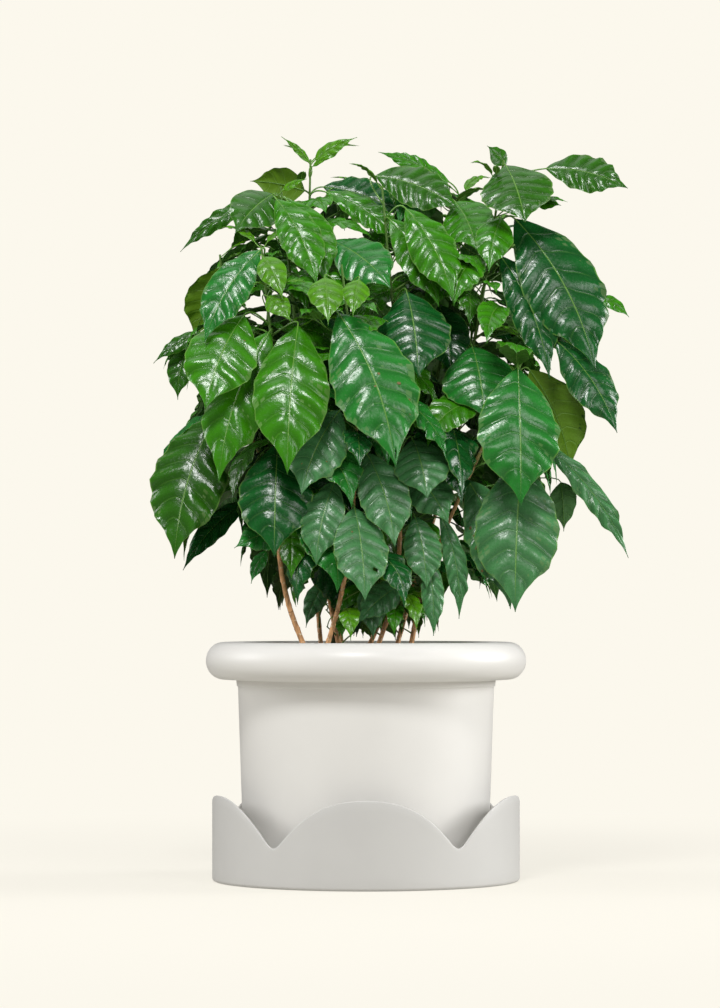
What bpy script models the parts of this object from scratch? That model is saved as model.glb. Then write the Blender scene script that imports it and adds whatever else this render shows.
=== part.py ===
"""Potted coffee plant: a white pot with a thick rolled rim on a scalloped saucer, filled with soil.

Ten upright stems grow out of the soil, one of them forking into two boughs. Each ends in a
foliage mass: its own upper stem with side twigs, and paired leaves joined to them.
"""

import math
import random

import bmesh
import bpy
from mathutils import Vector
from mathutils.bvhtree import BVHTree

MM = 0.001
FIT_GAP = 0.3

# Saucer, millimetres
SAUCER_RADIUS = 134.5
SAUCER_SHEET = 2.0
SAUCER_PEAK_Z = 76.0
SAUCER_VALLEY_Z = 34.0
SAUCER_SCALLOPS = 5
SAUCER_SCALLOP_POWER = 2.05
SAUCER_STEPS = 60
SAUCER_BEND = 3.0
SAUCER_BEND_MIDDLE = 0.3
SAUCER_FILLET = 1.0

# Pot, millimetres
POT_FOOT_Z = SAUCER_SHEET + FIT_GAP
POT_FOOT_RADIUS = 106.5
POT_TOP_RADIUS = 112.0
POT_COLLAR_RADIUS = 113.5
POT_COLLAR_Z = 170.0
POT_WALL = 9.5
POT_FLOOR = 11.0
RIM_RADIUS = 140.0
RIM_BOTTOM_Z = 176.0
RIM_TOP_Z = 208.5
RIM_INNER_RADIUS = 106.0
RIM_FULLNESS = 0.92
MOUTH_DROP = 8.0
MOUTH_FLARE = 1.5
MOUTH_ROUND = 2.5
COLLAR_TAPER = 0.5
FOOT_CHAMFER = 2.0
POT_STEPS = 40
RIM_ARC_STEPS = 5

# Soil, millimetres
SOIL_TOP_Z = 185.0
SOIL_STEPS = POT_STEPS

# Stems, millimetres
STEM_FOOT_Z = SOIL_TOP_Z + FIT_GAP
MASS_START_Z = 236.0
BEND_Z = 270.0
FORK_Z = 224.0
STEM_SIDES = 6
SHOOT_SIDES = 5
TWIG_SIDES = 3
APEX_RADIUS = 0.9
TWIG_RADIUS = 1.15
FLARE_HEIGHT = 9.0
FLARE_SHARE = 0.35
PATH_STEPS = 3
PATH_LEAST = 2.0
OLD_STEM_BOW = 1.5
OLD_STEM_FLARE = 1.3
BOUGH_TAPER = 0.92

# Blade: its outline as a share of its length, and its sections
OUTLINE_SHIFT = 0.95
OUTLINE_FULLNESS = 0.88
TIP_START = 0.74
TIP_NARROWING = 0.62
MIDRIB_STEPS = 24
LEAF_THICKNESS_SHARE = 0.0115
LEAST_THICKNESS = 0.9
SHORT_LEAF = 60.0
LONG_LEAF = 118.0
SHORT_SHARES = (0.3, 0.7)
MIDDLE_SHARES = (0.2, 0.5, 0.8)
LONG_SHARES = (0.14, 0.38, 0.62, 0.83)
PLAIN_SHARES = (0.24, 0.64)
TESTED_SHARES = (0.3, 0.6, 1.0)
HIDING_SHARES = (0.3, 0.6, 0.95)
HIDING_OFFSETS = (-0.8, 0.0, 0.8)

# Stalk, millimetres
STALK_BEND = 12.0
STALK_BEND_SHARE = 0.55
LONG_STALK = 22.0
STALK_SIZE = (0.45, 0.006, 1.1)
ROOT_SPREAD = 1.5
ROOT_SETBACK = 0.7
ROOT_SIZE = 0.7
ROOT_TURN = 0.618
ROOT_LIFT = 4.0
ROOT_FROM_APEX = 1.0
LATE_ROOT_COST = 2.0

# What a leaf keeps clear of, millimetres
CLEARANCE = 1.6
LEADING_CLEARANCE = 0.4
BLADE_FROM = 0.06
LEADING_BLADE_FROM = 0.14
ABOVE_SOIL = 6.0
ABOVE_RIM = 6.0
INSIDE_MOUTH = 8.0

# How a leaf is re-aimed or made smaller where it doesn't fit, degrees
TURNS = (0, 8, -8, 16, -16, 24, -24, 34, -34)
LIFTS = (0, 7, -7, 14)
PLAIN_TRIES = 36
LEADING_TRIES = (0, 1, 2, 3, 4, 9, 10, 11, 12, 13, 18, 19, 20, 21, 22)
PLAIN_SCALES = (1.0, 0.86, 0.72, 0.58)
LEADING_SCALES = (1.0, 0.93, 0.86)

# Leading leaves: width as drawn, arc over chord, bend of hanging and of rising ones
LEADING_WIDTH = 1.1
LEADING_ARC = 1.04
HANGING_BEND = 34
RISING_BEND = 22
STEEPEST = -98
LEADING_FOLD = -0.12
LEADING_FACING = 0.85
FACING_LIFT = 0.25

# Paired leaves: how size, pitch and reach change from the youngest pair down
YOUNGEST_SIZE = 0.22
GROWN_RANK = 3.2
FIRST_RANK = 0.6
LENGTH_RANGE = (0.86, 1.1)
WIDTH_RANGE = (0.38, 0.46)
YOUNG_WIDTH = 0.8
HEADING_SWAY = 14
YOUNG_PITCH = (62, 12)
PITCH_FALL = (62, 108)
PITCH_SWAY = (10, 6)
STALK_REACH = (5.0, 6.0)
STALK_RISE = 0.75
FOLD_RANGE = (-0.2, 0.12)
ROLL_SWAY = 12
DRIFT_SWAY = 18
OUTWARD_LIFT = 0.7
OUTWARD_FACING = 0.6
CROWN_AXIS = (10.0, 20.0)
PAIR_CLOSING = 0.9
PAIR_FOOT = 12.0
PAIR_TOP = 2.0

# Side twigs
TWIG_EVERY = 2
TWIG_FROM = 0.1
TWIG_SPAN = 0.72
TWIG_SWAY = 75
TWIG_REACH = (34, 58)
TWIG_REACH_FALL = (1.1, 0.4)
TWIG_RISE = (0.8, 0.25)
TWIG_TAPER = (1.0, 0.85, 0.6)
TWIG_LEAF_SHARE = 0.8
TWIG_LEAF_RANK = 2.0
TWIG_LEAF_SPREAD = 40.0

# Joining a mass into one solid
WELD = 0.001
JOIN_SHRINK = 0.96
ROOT_NUDGE = 0.03
JOIN_TRIES = 12
SEED = 4128

# Each shoot: foot x, y; x, y at the top of the bare stem; x, y, z half way; apex x, y, z;
# radius at the foot; turn of its first pair of leaves; number of pairs; length of its largest leaves
SHOOTS = {
    "left_front": (-46, -24, -74, -34, -77, -56, 415, -90, -62, 550, 2.5, 20, 9, 112),
    "left_tall": (-19, 4, -36, 4, -56, -14, 435, -74, -28, 604, 2.5, 65, 10, 112),
    "left_back": (-38, 42, -45, 48, -52, 44, 450, -49, 26, 634, 2.1, 30, 10, 112),
    "left_side": (-20, 38, -34, 68, -112, 20, 412, -128, 4, 548, 2.2, 10, 9, 112),
    "centre_front": (-40, -32, -17, -46, -8, -62, 402, -21, -76, 532, 2.2, 55, 8, 115),
    "centre_tall": (3, -17, 28, -20, 28, -20, 432, 14, -12, 606, 2.2, 25, 10, 112),
    "right_tall": (-6, 30, 30, 28, 88, 0, 440, 120, -20, 628, 2.2, 70, 10, 115),
    "right_side": (36, -6, 54, -2, 108, -24, 392, 150, -38, 484, 2.4, 35, 7, 118),
    "back_right": (22, 52, 46, 78, 90, 108, 425, 98, 112, 578, 2.2, 15, 9, 115),
    "back_left": (-26, 58, -30, 88, -88, 116, 420, -84, 112, 572, 2.2, 50, 9, 115),
}

# The old stem: foot x, y; fork x, y; radius at the foot and at the fork
OLD_STEM = (-30, 14, -27, 22, 5.2, 4.0)

# Its two boughs: x, y at the bough's tip; x, y, z half way; apex x, y, z; radius; turn; pairs; leaf length
BOUGH_TIP_Z = 262.0
BOUGH_BEND_Z = 300.0
FORK_WAY = Vector((0.7, -0.7, 0.0))
BOUGHS = {
    "inner_right": (16, 36, 66, 38, 455, 84, 24, 604, 1.9, 40, 8, 112),
    "back_middle": (-20, 68, 4, 106, 450, 4, 116, 612, 1.9, 5, 9, 115),
}

# Leading leaves, read off the photo: shoot, blade base x and z, tip x and z, how far the tip
# comes forward of the base, how far the base stands forward of its stem, width, tone
LEADING = (
    ("centre_front", -24, 490, 24, 360, 38, 16, 66, "mature"),
    ("left_front", -58, 480, -66, 354, 44, 22, 59, "bright"),
    ("left_front", -104, 489, -135, 408, 36, 16, 56, "bright"),
    ("left_front", -82, 476, -124, 348, 30, 10, 50, "bright"),
    ("left_front", -90, 545, -136, 466, 24, 12, 35, "mature"),
    ("left_side", -116, 538, -151, 478, -22, -6, 40, "olive"),
    ("left_side", -130, 408, -165, 284, 30, 22, 60, "mature"),
    ("left_side", -102, 336, -160, 273, 24, 6, 20, "dark"),
    ("left_back", -84, 603, -162, 554, 6, -4, 16, "mature"),
    ("left_side", -142, 480, -185, 453, 10, 2, 14, "mature"),
    ("left_side", -158, 466, -165, 422, 8, -6, 22, "mature"),
    ("left_back", -45, 633, -9, 652, 4, 2, 16, "young"),
    ("left_back", -50, 631, -74, 653, 2, 0, 8, "young"),
    ("left_back", -47, 627, -29, 637, 8, 6, 6, "young"),
    ("left_back", -54, 607, -101, 616, -6, -8, 32, "olive"),
    ("left_tall", -80, 597, -112, 560, 28, 6, 42, "mature"),
    ("left_tall", -78, 592, -43, 516, 30, 16, 34, "bright"),
    ("left_tall", -69, 592, -35, 519, 20, 8, 38, "bright"),
    ("left_tall", -72, 600, -52, 609, 4, 8, 8, "young"),
    ("centre_tall", -30, 556, 20, 513, 34, 22, 42, "mature"),
    ("left_front", -88, 538, -71, 500, 16, 22, 26, "young"),
    ("left_front", -84, 504, -64, 481, 14, 28, 22, "young"),
    ("centre_front", -35, 520, -32, 478, 22, 16, 33, "young"),
    ("centre_front", -6, 518, -11, 485, 18, 18, 24, "young"),
    ("right_tall", 121, 622, 136, 570, 34, 12, 58, "mature"),
    ("right_tall", 122, 624, 106, 640, 4, -6, 16, "mature"),
    ("right_tall", 156, 620, 225, 602, 12, 4, 34, "bright"),
    ("right_tall", 148, 590, 169, 588, 6, 4, 12, "bright"),
    ("inner_right", 74, 612, 13, 637, 8, 10, 15, "bright"),
    ("centre_tall", 8, 616, 79, 586, 14, -8, 38, "mature"),
    ("left_back", -38, 610, 30, 584, 10, -4, 32, "dark"),
    ("left_back", -36, 604, 32, 556, 18, 12, 24, "bright"),
    ("centre_tall", 34, 585, 74, 504, 30, 20, 38, "bright"),
    ("centre_tall", 20, 577, 62, 500, 22, 8, 34, "bright"),
    ("inner_right", 85, 594, 111, 549, 26, 24, 42, "bright"),
    ("right_tall", 117, 577, 106, 528, 20, 18, 30, "bright"),
    ("right_tall", 129, 577, 196, 446, 30, 8, 64, "dark"),
    ("right_tall", 116, 545, 157, 438, 30, 10, 34, "dark"),
    ("centre_tall", 35, 512, 45, 437, 34, 24, 58, "dark"),
    ("inner_right", 70, 505, 88, 442, 26, 20, 36, "dark"),
    ("right_tall", 92, 466, 102, 402, 30, 26, 60, "mature"),
    ("right_side", 119, 444, 115, 328, 20, 36, 66, "mature"),
    ("right_side", 135, 367, 128, 238, 34, 20, 66, "mature"),
    ("right_side", 88, 350, 124, 240, 16, 6, 48, "dark"),
    ("right_side", 142, 445, 178, 361, -18, -8, 46, "olive"),
    ("right_side", 162, 470, 212, 391, 16, 8, 38, "dark"),
    ("right_side", 152, 382, 225, 284, 14, 2, 20, "mature"),
    ("right_side", 170, 348, 172, 306, 6, -6, 24, "olive"),
    ("right_side", 204, 508, 228, 491, 4, -2, 12, "bright"),
    ("centre_front", -22, 408, -54, 336, 30, 10, 46, "mature"),
    ("left_front", -76, 380, -78, 284, 30, 8, 58, "dark"),
    ("centre_front", -26, 348, -42, 276, 22, 10, 34, "mature"),
    ("centre_front", -16, 325, -14, 246, 26, 22, 44, "mature"),
    ("centre_front", 0, 372, 24, 292, 26, 6, 40, "mature"),
    ("centre_tall", 40, 384, 52, 333, 26, 34, 44, "mature"),
    ("centre_tall", 30, 364, 70, 312, 22, 16, 38, "mature"),
    ("left_front", -72, 304, -112, 290, 16, 10, 26, "mature"),
    ("left_front", -86, 288, -99, 260, 8, -2, 12, "mature"),
    ("centre_tall", 42, 318, 52, 256, 20, 18, 30, "dark"),
    ("centre_tall", 64, 320, 80, 231, 10, 8, 18, "dark"),
    ("centre_tall", 54, 286, 58, 216, 14, 22, 18, "dark"),
    ("centre_tall", 38, 262, -6, 226, 12, 26, 26, "mature"),
    ("centre_tall", 4, 262, 6, 212, 12, 14, 24, "bright"),
    ("left_tall", -34, 262, -52, 222, 8, 4, 18, "bright"),
)

# The crown's outline seen from the photo's place, x and z at the pot's axis: only leading leaves
# may cross it, so that the sky round the crown and beside its lower right leaves stays open
PHOTO_DISTANCE = 3325.0
PHOTO_EYE_Z = 240.0
CROWN_OUTLINE = (
    (-82, 660), (-32, 663), (-4, 658), (-2, 639), (16, 646), (56, 639), (84, 620), (100, 642),
    (135, 632), (170, 640), (205, 632), (228, 611), (226, 595), (180, 584), (180, 564),
    (205, 541), (212, 514), (233, 502), (233, 486), (208, 485), (203, 462), (219, 424),
    (219, 392), (200, 380), (200, 359), (186, 345), (205, 322), (228, 296), (228, 280),
    (210, 292), (191, 315), (180, 303), (172, 271), (147, 242), (122, 234), (98, 254),
    (82, 284), (77, 330), (70, 330), (72, 298), (82, 234), (66, 226), (61, 205), (-61, 205),
    (-66, 228), (-86, 242), (-102, 259), (-114, 278), (-133, 280), (-161, 270), (-168, 285),
    (-184, 315), (-187, 350), (-166, 392), (-156, 416), (-172, 422), (-178, 450), (-189, 457),
    (-184, 474), (-159, 481), (-159, 516), (-142, 546), (-117, 551), (-117, 560), (-142, 567),
    (-164, 553), (-158, 576), (-138, 604), (-102, 628), (-65, 630),
)

# Colours: red, green, blue, roughness
TONES = {
    "young": (0.20, 0.42, 0.02, 0.35),
    "bright": (0.055, 0.24, 0.02, 0.3),
    "mature": (0.018, 0.12, 0.03, 0.3),
    "dark": (0.012, 0.07, 0.028, 0.28),
    "olive": (0.09, 0.16, 0.012, 0.55),
}
POT_COLOUR = (0.83, 0.81, 0.77, 0.35)
SAUCER_COLOUR = (0.62, 0.61, 0.59, 0.5)
SOIL_COLOUR = (0.035, 0.022, 0.014, 0.95)
BARK_COLOUR = (0.26, 0.14, 0.07, 0.75)
OLD_BARK_COLOUR = (0.05, 0.045, 0.025, 0.9)
FOLIAGE_COLOUR = (0.02, 0.13, 0.025, 0.35)


def clear_scene():
    for obj in list(bpy.data.objects):
        bpy.data.objects.remove(obj, do_unlink=True)


def material(name, colour):
    made = bpy.data.materials.new(name)
    made.use_nodes = True
    shader = made.node_tree.nodes["Principled BSDF"]
    shader.inputs["Base Color"].default_value = (*colour[:3], 1.0)
    shader.inputs["Roughness"].default_value = colour[3]
    return made


def make_object(name, mesh_data, colour, smooth=False):
    obj = bpy.data.objects.new(name, mesh_data)
    bpy.context.scene.collection.objects.link(obj)
    mesh_data.materials.append(material(name + "_material", colour))
    if smooth:
        mesh_data.shade_smooth()
    return obj


def mesh_from(name, points, faces):
    """A mesh in metres from points in millimetres."""
    data = bpy.data.meshes.new(name)
    data.from_pydata([tuple(c * MM for c in p) for p in points], [], faces)
    data.validate()
    return data


def spin_profile(name, profile, steps, colour):
    """A solid of revolution about Z: the profile runs down its outer side, millimetres (r, z)."""
    bm = bmesh.new()
    verts = [bm.verts.new((r * MM, 0.0, z * MM)) for r, z in profile]
    edges = [bm.edges.new(pair) for pair in zip(verts, verts[1:])]
    bmesh.ops.spin(
        bm,
        geom=verts + edges,
        cent=(0, 0, 0),
        axis=(0, 0, 1),
        angle=math.tau,
        steps=steps,
        use_merge=True,
    )
    bmesh.ops.remove_doubles(bm, verts=bm.verts, dist=0.00001)
    bmesh.ops.recalc_face_normals(bm, faces=bm.faces)
    data = bpy.data.meshes.new(name)
    bm.to_mesh(data)
    bm.free()
    return make_object(name, data, colour, smooth=True)


# Pot, saucer and soil


def rim_section():
    """The rolled rim from its lower inner corner round its outside to the pot's mouth."""
    height = RIM_TOP_Z - RIM_BOTTOM_Z
    round_r = height / 2
    centre_r = RIM_RADIUS - round_r * RIM_FULLNESS
    centre_z = (RIM_TOP_Z + RIM_BOTTOM_Z) / 2
    points = []
    for i in range(2 * RIM_ARC_STEPS + 1):
        angle = math.pi / 2 - math.pi * i / (2 * RIM_ARC_STEPS)
        r = centre_r + (RIM_RADIUS - centre_r) * math.cos(angle)
        points.append((r, centre_z + round_r * math.sin(angle)))
    return points


def build_pot():
    inner_top = POT_TOP_RADIUS - POT_WALL
    inner_foot = POT_FOOT_RADIUS - POT_WALL
    profile = [(0.0, POT_FOOT_Z + POT_FLOOR)]
    profile.append((inner_foot, POT_FOOT_Z + POT_FLOOR))
    profile.append((inner_top, RIM_TOP_Z - MOUTH_DROP))
    profile.append((inner_top + MOUTH_FLARE, RIM_TOP_Z - MOUTH_ROUND))
    profile.append((RIM_INNER_RADIUS, RIM_TOP_Z))
    profile += rim_section()
    profile.append((POT_COLLAR_RADIUS, RIM_BOTTOM_Z))
    profile.append((POT_COLLAR_RADIUS - COLLAR_TAPER, POT_COLLAR_Z))
    profile.append((POT_TOP_RADIUS, POT_COLLAR_Z))
    profile.append((POT_FOOT_RADIUS, POT_FOOT_Z + FOOT_CHAMFER))
    profile.append((POT_FOOT_RADIUS - FOOT_CHAMFER, POT_FOOT_Z))
    profile.append((0.0, POT_FOOT_Z))
    return spin_profile("pot", profile, POT_STEPS, POT_COLOUR)


def scallop_z(angle):
    """Height of the saucer's edge; the angle is measured from the front, radians."""
    pitch = math.tau / SAUCER_SCALLOPS
    share = abs((angle + pitch / 2) % pitch - pitch / 2) / (pitch / 2)
    return SAUCER_PEAK_Z - (SAUCER_PEAK_Z - SAUCER_VALLEY_Z) * share**SAUCER_SCALLOP_POWER


def build_saucer():
    inner = SAUCER_RADIUS - SAUCER_SHEET
    bend = SAUCER_BEND
    rows = []
    for step in range(SAUCER_STEPS):
        angle = math.tau * step / SAUCER_STEPS
        top = scallop_z(angle)
        section = [
            (SAUCER_RADIUS - bend, 0.0),
            (SAUCER_RADIUS - SAUCER_BEND_MIDDLE * bend, SAUCER_BEND_MIDDLE * bend),
            (SAUCER_RADIUS, bend),
            (SAUCER_RADIUS, top),
            (inner, top),
            (inner, SAUCER_SHEET + SAUCER_FILLET),
            (inner - SAUCER_FILLET, SAUCER_SHEET),
        ]
        rows.append([(r * math.sin(angle), -r * math.cos(angle), z) for r, z in section])
    points = [p for row in rows for p in row]
    size = len(rows[0])
    faces = []
    for i in range(SAUCER_STEPS):
        j = (i + 1) % SAUCER_STEPS
        for k in range(size - 1):
            faces.append((i * size + k, j * size + k, j * size + k + 1, i * size + k + 1))
    low, high = len(points), len(points) + 1
    points += [(0, 0, 0), (0, 0, SAUCER_SHEET)]
    for i in range(SAUCER_STEPS):
        j = (i + 1) % SAUCER_STEPS
        faces.append((low, j * size, i * size))
        faces.append((high, i * size + size - 1, j * size + size - 1))
    return make_object("saucer", mesh_from("saucer", points, faces), SAUCER_COLOUR)


def build_soil():
    gap = FIT_GAP
    inner_top = POT_TOP_RADIUS - POT_WALL - gap
    inner_foot = POT_FOOT_RADIUS - POT_WALL - gap
    low = POT_FOOT_Z + POT_FLOOR + gap
    run = (SOIL_TOP_Z - low) / (RIM_TOP_Z - MOUTH_DROP - low)
    top_r = inner_foot + (inner_top - inner_foot) * run
    profile = [(0.0, SOIL_TOP_Z), (top_r, SOIL_TOP_Z), (inner_foot, low), (0.0, low)]
    return spin_profile("soil", profile, SOIL_STEPS, SOIL_COLOUR)


# The growth rule


def smooth_path(knots, steps):
    """Points on a smooth curve through the knots."""
    knots = [Vector(k) for k in knots]
    ends = [2 * knots[0] - knots[1]] + knots + [2 * knots[-1] - knots[-2]]
    points = []
    for i in range(1, len(ends) - 2):
        a, b, c, d = ends[i - 1 : i + 3]
        for step in range(steps):
            t = step / steps
            points.append(
                0.5
                * (
                    2 * b
                    + (c - a) * t
                    + (2 * a - 5 * b + 4 * c - d) * t**2
                    + (3 * b - a - 3 * c + d) * t**3
                )
            )
    points.append(knots[-1].copy())
    return points


def cut_path(path, low, high):
    """The stretch of a rising path between two heights, with a point at each cut."""

    def at(z):
        for a, b in zip(path, path[1:]):
            if a.z <= z <= b.z:
                return a.lerp(b, (z - a.z) / (b.z - a.z))
        return path[-1].copy() if z > path[-1].z else path[0].copy()

    inner = [p for p in path if low + PATH_LEAST < p.z < high - PATH_LEAST]
    return [at(low)] + inner + [at(high)]


def height_share(point, path):
    return (point.z - path[0].z) / (path[-1].z - path[0].z)


def half_width(share):
    """Half the blade's width over its greatest half width: an ellipse drawn out to a drip tip."""
    if not 0 < share < 1:
        return 0.0
    body = math.sin(math.pi * share**OUTLINE_SHIFT) ** OUTLINE_FULLNESS
    return body * (1.0 - TIP_NARROWING * max(0.0, (share - TIP_START) / (1.0 - TIP_START)))


class Leaf:
    """One leaf: where its stalk roots, how its midrib runs, and its width."""

    def __init__(self, root, base, heading, start, end, length, width, roll, fold, tone, drift=0.0):
        self.root, self.base = root, base
        self.heading, self.start, self.end = heading, start, end
        self.length, self.width, self.roll, self.fold = length, width, roll, fold
        self.tone, self.drift = tone, drift
        self.leading = False

    def frames(self, shares):
        """(place, along, side, up) on the midrib at each share of its length."""
        place = self.base.copy()
        places = [place.copy()]
        for i in range(MIDRIB_STEPS):
            along = self.along((i + 0.5) / MIDRIB_STEPS)
            place = place + along * (self.length / MIDRIB_STEPS)
            places.append(place.copy())
        found = []
        for share in shares:
            step = min(int(share * MIDRIB_STEPS), MIDRIB_STEPS - 1)
            spot = places[step].lerp(places[step + 1], share * MIDRIB_STEPS - step)
            along = self.along(share)
            heading = self.heading + self.drift * share
            side = Vector((-math.sin(heading), math.cos(heading), 0.0))
            up = along.cross(side).normalized()
            turn = self.roll
            side, up = (
                side * math.cos(turn) + up * math.sin(turn),
                up * math.cos(turn) - side * math.sin(turn),
            )
            found.append((spot, along, side, up))
        return found

    def along(self, share):
        pitch = self.start + (self.end - self.start) * share
        heading = self.heading + self.drift * share
        flat = math.cos(pitch)
        return Vector((flat * math.cos(heading), flat * math.sin(heading), math.sin(pitch)))

    def tip(self):
        return self.frames([1.0])[0][0]


def blade_rings(leaf, shares, swell=0.0):
    """Four-point sections of the blade: left edge, top, right edge, underside."""
    thick = max(leaf.length * LEAF_THICKNESS_SHARE, LEAST_THICKNESS) / 2 + swell
    rings = []
    for share, (spot, _, side, up) in zip(shares, leaf.frames(shares)):
        half = half_width(share) * leaf.width / 2 + swell
        rise = half * leaf.fold
        rings.append(
            (
                spot - side * half + up * rise,
                spot + up * thick,
                spot + side * half + up * rise,
                spot - up * thick,
            )
        )
    return rings


def leaf_shares(length):
    """Where the blade's sections stand: more of them on a longer leaf."""
    if length > LONG_LEAF:
        return LONG_SHARES
    return MIDDLE_SHARES if length > SHORT_LEAF else SHORT_SHARES


def stalk_bend(leaf):
    """The control point that brings the stalk into line with the blade where they meet."""
    along = leaf.along(0.0)
    return leaf.base - along * min(STALK_BEND_SHARE * (leaf.base - leaf.root).length, STALK_BEND)


def stalk_rings(leaf, root_size, base_size):
    """Square sections of the leaf's stalk, from inside its twig to the blade."""
    _, along, side, up = leaf.frames([0.0])[0]
    control = stalk_bend(leaf)
    stops = [(leaf.base, along, base_size)]
    if (leaf.base - leaf.root).length > LONG_STALK:
        middle = leaf.root * 0.25 + control * 0.5 + leaf.base * 0.25
        stops.append((middle, leaf.base - leaf.root, (base_size + root_size) / 2))
    stops.append((leaf.root, control - leaf.root, root_size))
    rings = []
    before = along
    for spot, way, size in stops:
        way = way.normalized()
        turn = before.rotation_difference(way)
        side, up, before = turn @ side, turn @ up, way
        rings.append((spot - side * size, spot + up * size, spot + side * size, spot - up * size))
    return rings[::-1]


def skin(rings, tip=None):
    """Triangles over a row of rings, closed at the foot and at the tip.

    The diagonals turn about from one side to the next, so that a blade's upper and under
    faces are cut alike and never pass through each other where the blade twists.
    """
    points = [p for ring in rings for p in ring]
    size = len(rings[0])
    faces = []
    for i in range(len(rings) - 1):
        for k in range(size):
            a, b = i * size + k, i * size + (k + 1) % size
            if k % 2:
                faces += [(a, b, a + size), (b, b + size, a + size)]
            else:
                faces += [(a, b, b + size), (a, b + size, a + size)]
    faces += [(0, k + 1, k) for k in range(1, size - 1)]
    last = (len(rings) - 1) * size
    if tip is None:
        faces += [(last, last + k, last + k + 1) for k in range(1, size - 1)]
    else:
        points.append(tip)
        faces += [(last + k, last + (k + 1) % size, len(points) - 1) for k in range(size)]
    return points, faces


def face_to(leaf, way, share):
    """Rolls the leaf so that its upper side turns this share of the way to a direction."""
    leaf.roll = 0.0
    _, along, side, up = leaf.frames([0.5])[0]
    wanted = way - along * way.dot(along)
    if wanted.length > 0.05:
        leaf.roll = share * math.atan2(-wanted.dot(side), wanted.dot(up))


def leaf_body(leaf, swell=0.0):
    """A leaf as one closed solid; only a leading leaf has a section where stalk and blade meet."""
    least, share, most = STALK_SIZE
    base_size = min(most, least + leaf.length * share)
    rings = stalk_rings(leaf, ROOT_SIZE + swell, base_size + swell)
    if leaf.leading:
        rings += blade_rings(leaf, leaf_shares(leaf.length), swell)
    else:
        rings = rings[:1] + blade_rings(leaf, PLAIN_SHARES, swell)
    return skin(rings, tip=leaf.tip())


def tube(path, radii, sides, level=()):
    """A tapering round stem along a path; the rings named in level are cut flat."""
    rings = []
    across = Vector((0.0, 1.0, 0.0))
    for i, spot in enumerate(path):
        ahead = path[min(i + 1, len(path) - 1)] - path[max(i - 1, 0)]
        ahead.normalize()
        across = (across - ahead * across.dot(ahead)).normalized()
        over = ahead.cross(across)
        ring = []
        for k in range(sides):
            angle = math.tau * k / sides
            ring.append(spot + (across * math.cos(angle) + over * math.sin(angle)) * radii[i])
        rings.append(ring)
    for i in level:
        for p in rings[i]:
            p.z = path[i].z
    return skin(rings)


def tree_of(body):
    return BVHTree.FromPolygons([tuple(p) for p in body[0]], body[1])


class Mass:
    """One foliage mass: an upper stem, side twigs and leaves."""

    def __init__(self, name, path, low_radius, turn, pairs, leaf_length):
        self.name, self.path = name, path
        self.turn, self.pairs, self.leaf_length = math.radians(turn), pairs, leaf_length
        self.radii = [
            low_radius + (APEX_RADIUS - low_radius) * height_share(p, path) for p in path
        ]
        self.twigs = []
        self.leaves = []

    def stem(self):
        return tube(self.path, self.radii, SHOOT_SIDES, level=(0,))

    def root_for(self, base, reach):
        """Where on the stem a stalk to this base would start, and which way the stem runs there."""
        best = None
        for a, b in zip(self.path, self.path[1:]):
            for share in (0.0, 0.25, 0.5, 0.75, 1.0):
                spot = a.lerp(b, share)
                if not self.path[0].z + ROOT_LIFT <= spot.z <= self.path[-1].z - ROOT_FROM_APEX:
                    continue
                cost = (base - spot).length + max(0.0, reach - (base.z - spot.z)) * LATE_ROOT_COST
                if best is None or cost < best[0]:
                    best = (cost, spot, (b - a).normalized())
        return best[1:]


class Crown:
    """All masses and stems, and what a new leaf has to keep clear of."""

    def __init__(self):
        self.masses = {}
        self.limbs = []
        self.trees = []
        self.leading_trees = []
        self.rng = random.Random(SEED)

    def fits(self, leaf, mass, own, clearance):
        """True where the blade, a little swollen, touches nothing and the leaf no other mass."""
        shares = leaf_shares(leaf.length)
        first = LEADING_BLADE_FROM if leaf.leading else BLADE_FROM
        rings = blade_rings(leaf, (first,) + shares[1:], swell=clearance)
        blade = tree_of(skin(rings, tip=leaf.tip()))
        whole = tree_of(leaf_body(leaf, swell=FIT_GAP))
        for other_mass, other in self.trees:
            if other in own:
                continue
            if blade.overlap(other) or (other_mass != mass.name and whole.overlap(other)):
                return False
        if leaf.leading and leaf.length < SHORT_LEAF:
            return True
        bare = tree_of(skin(blade_rings(leaf, shares, swell=0.0), tip=leaf.tip()))
        return not bare.overlap(own[0])

    def hides_leading(self, leaf):
        """True where this leaf would hang in front of a leading leaf."""
        for share, (spot, _, side, _) in zip(HIDING_SHARES, leaf.frames(HIDING_SHARES)):
            half = half_width(share) * leaf.width / 2
            for offset in HIDING_OFFSETS:
                start = spot + side * (half * offset)
                for tree in self.leading_trees:
                    if tree.ray_cast(start, Vector((0.0, 1.0, 0.0)))[0] is not None:
                        return True
        return False


def outside_pot(leaf):
    """True where the leaf stays above the soil and off the pot's rim."""
    for share, (spot, _, side, _) in zip(TESTED_SHARES, leaf.frames(TESTED_SHARES)):
        half = half_width(share) * leaf.width / 2
        for end in (spot - side * half, spot + side * half):
            out = math.hypot(end.x, end.y)
            if end.z < SOIL_TOP_Z + ABOVE_SOIL:
                return False
            if out > POT_TOP_RADIUS - POT_WALL - INSIDE_MOUTH and end.z < RIM_TOP_Z + ABOVE_RIM:
                return False
    return True


def inside_outline(x, z):
    inside = False
    for (ax, az), (bx, bz) in zip(CROWN_OUTLINE, CROWN_OUTLINE[1:] + CROWN_OUTLINE[:1]):
        if (az > z) != (bz > z) and x < ax + (bx - ax) * (z - az) / (bz - az):
            inside = not inside
    return inside


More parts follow.
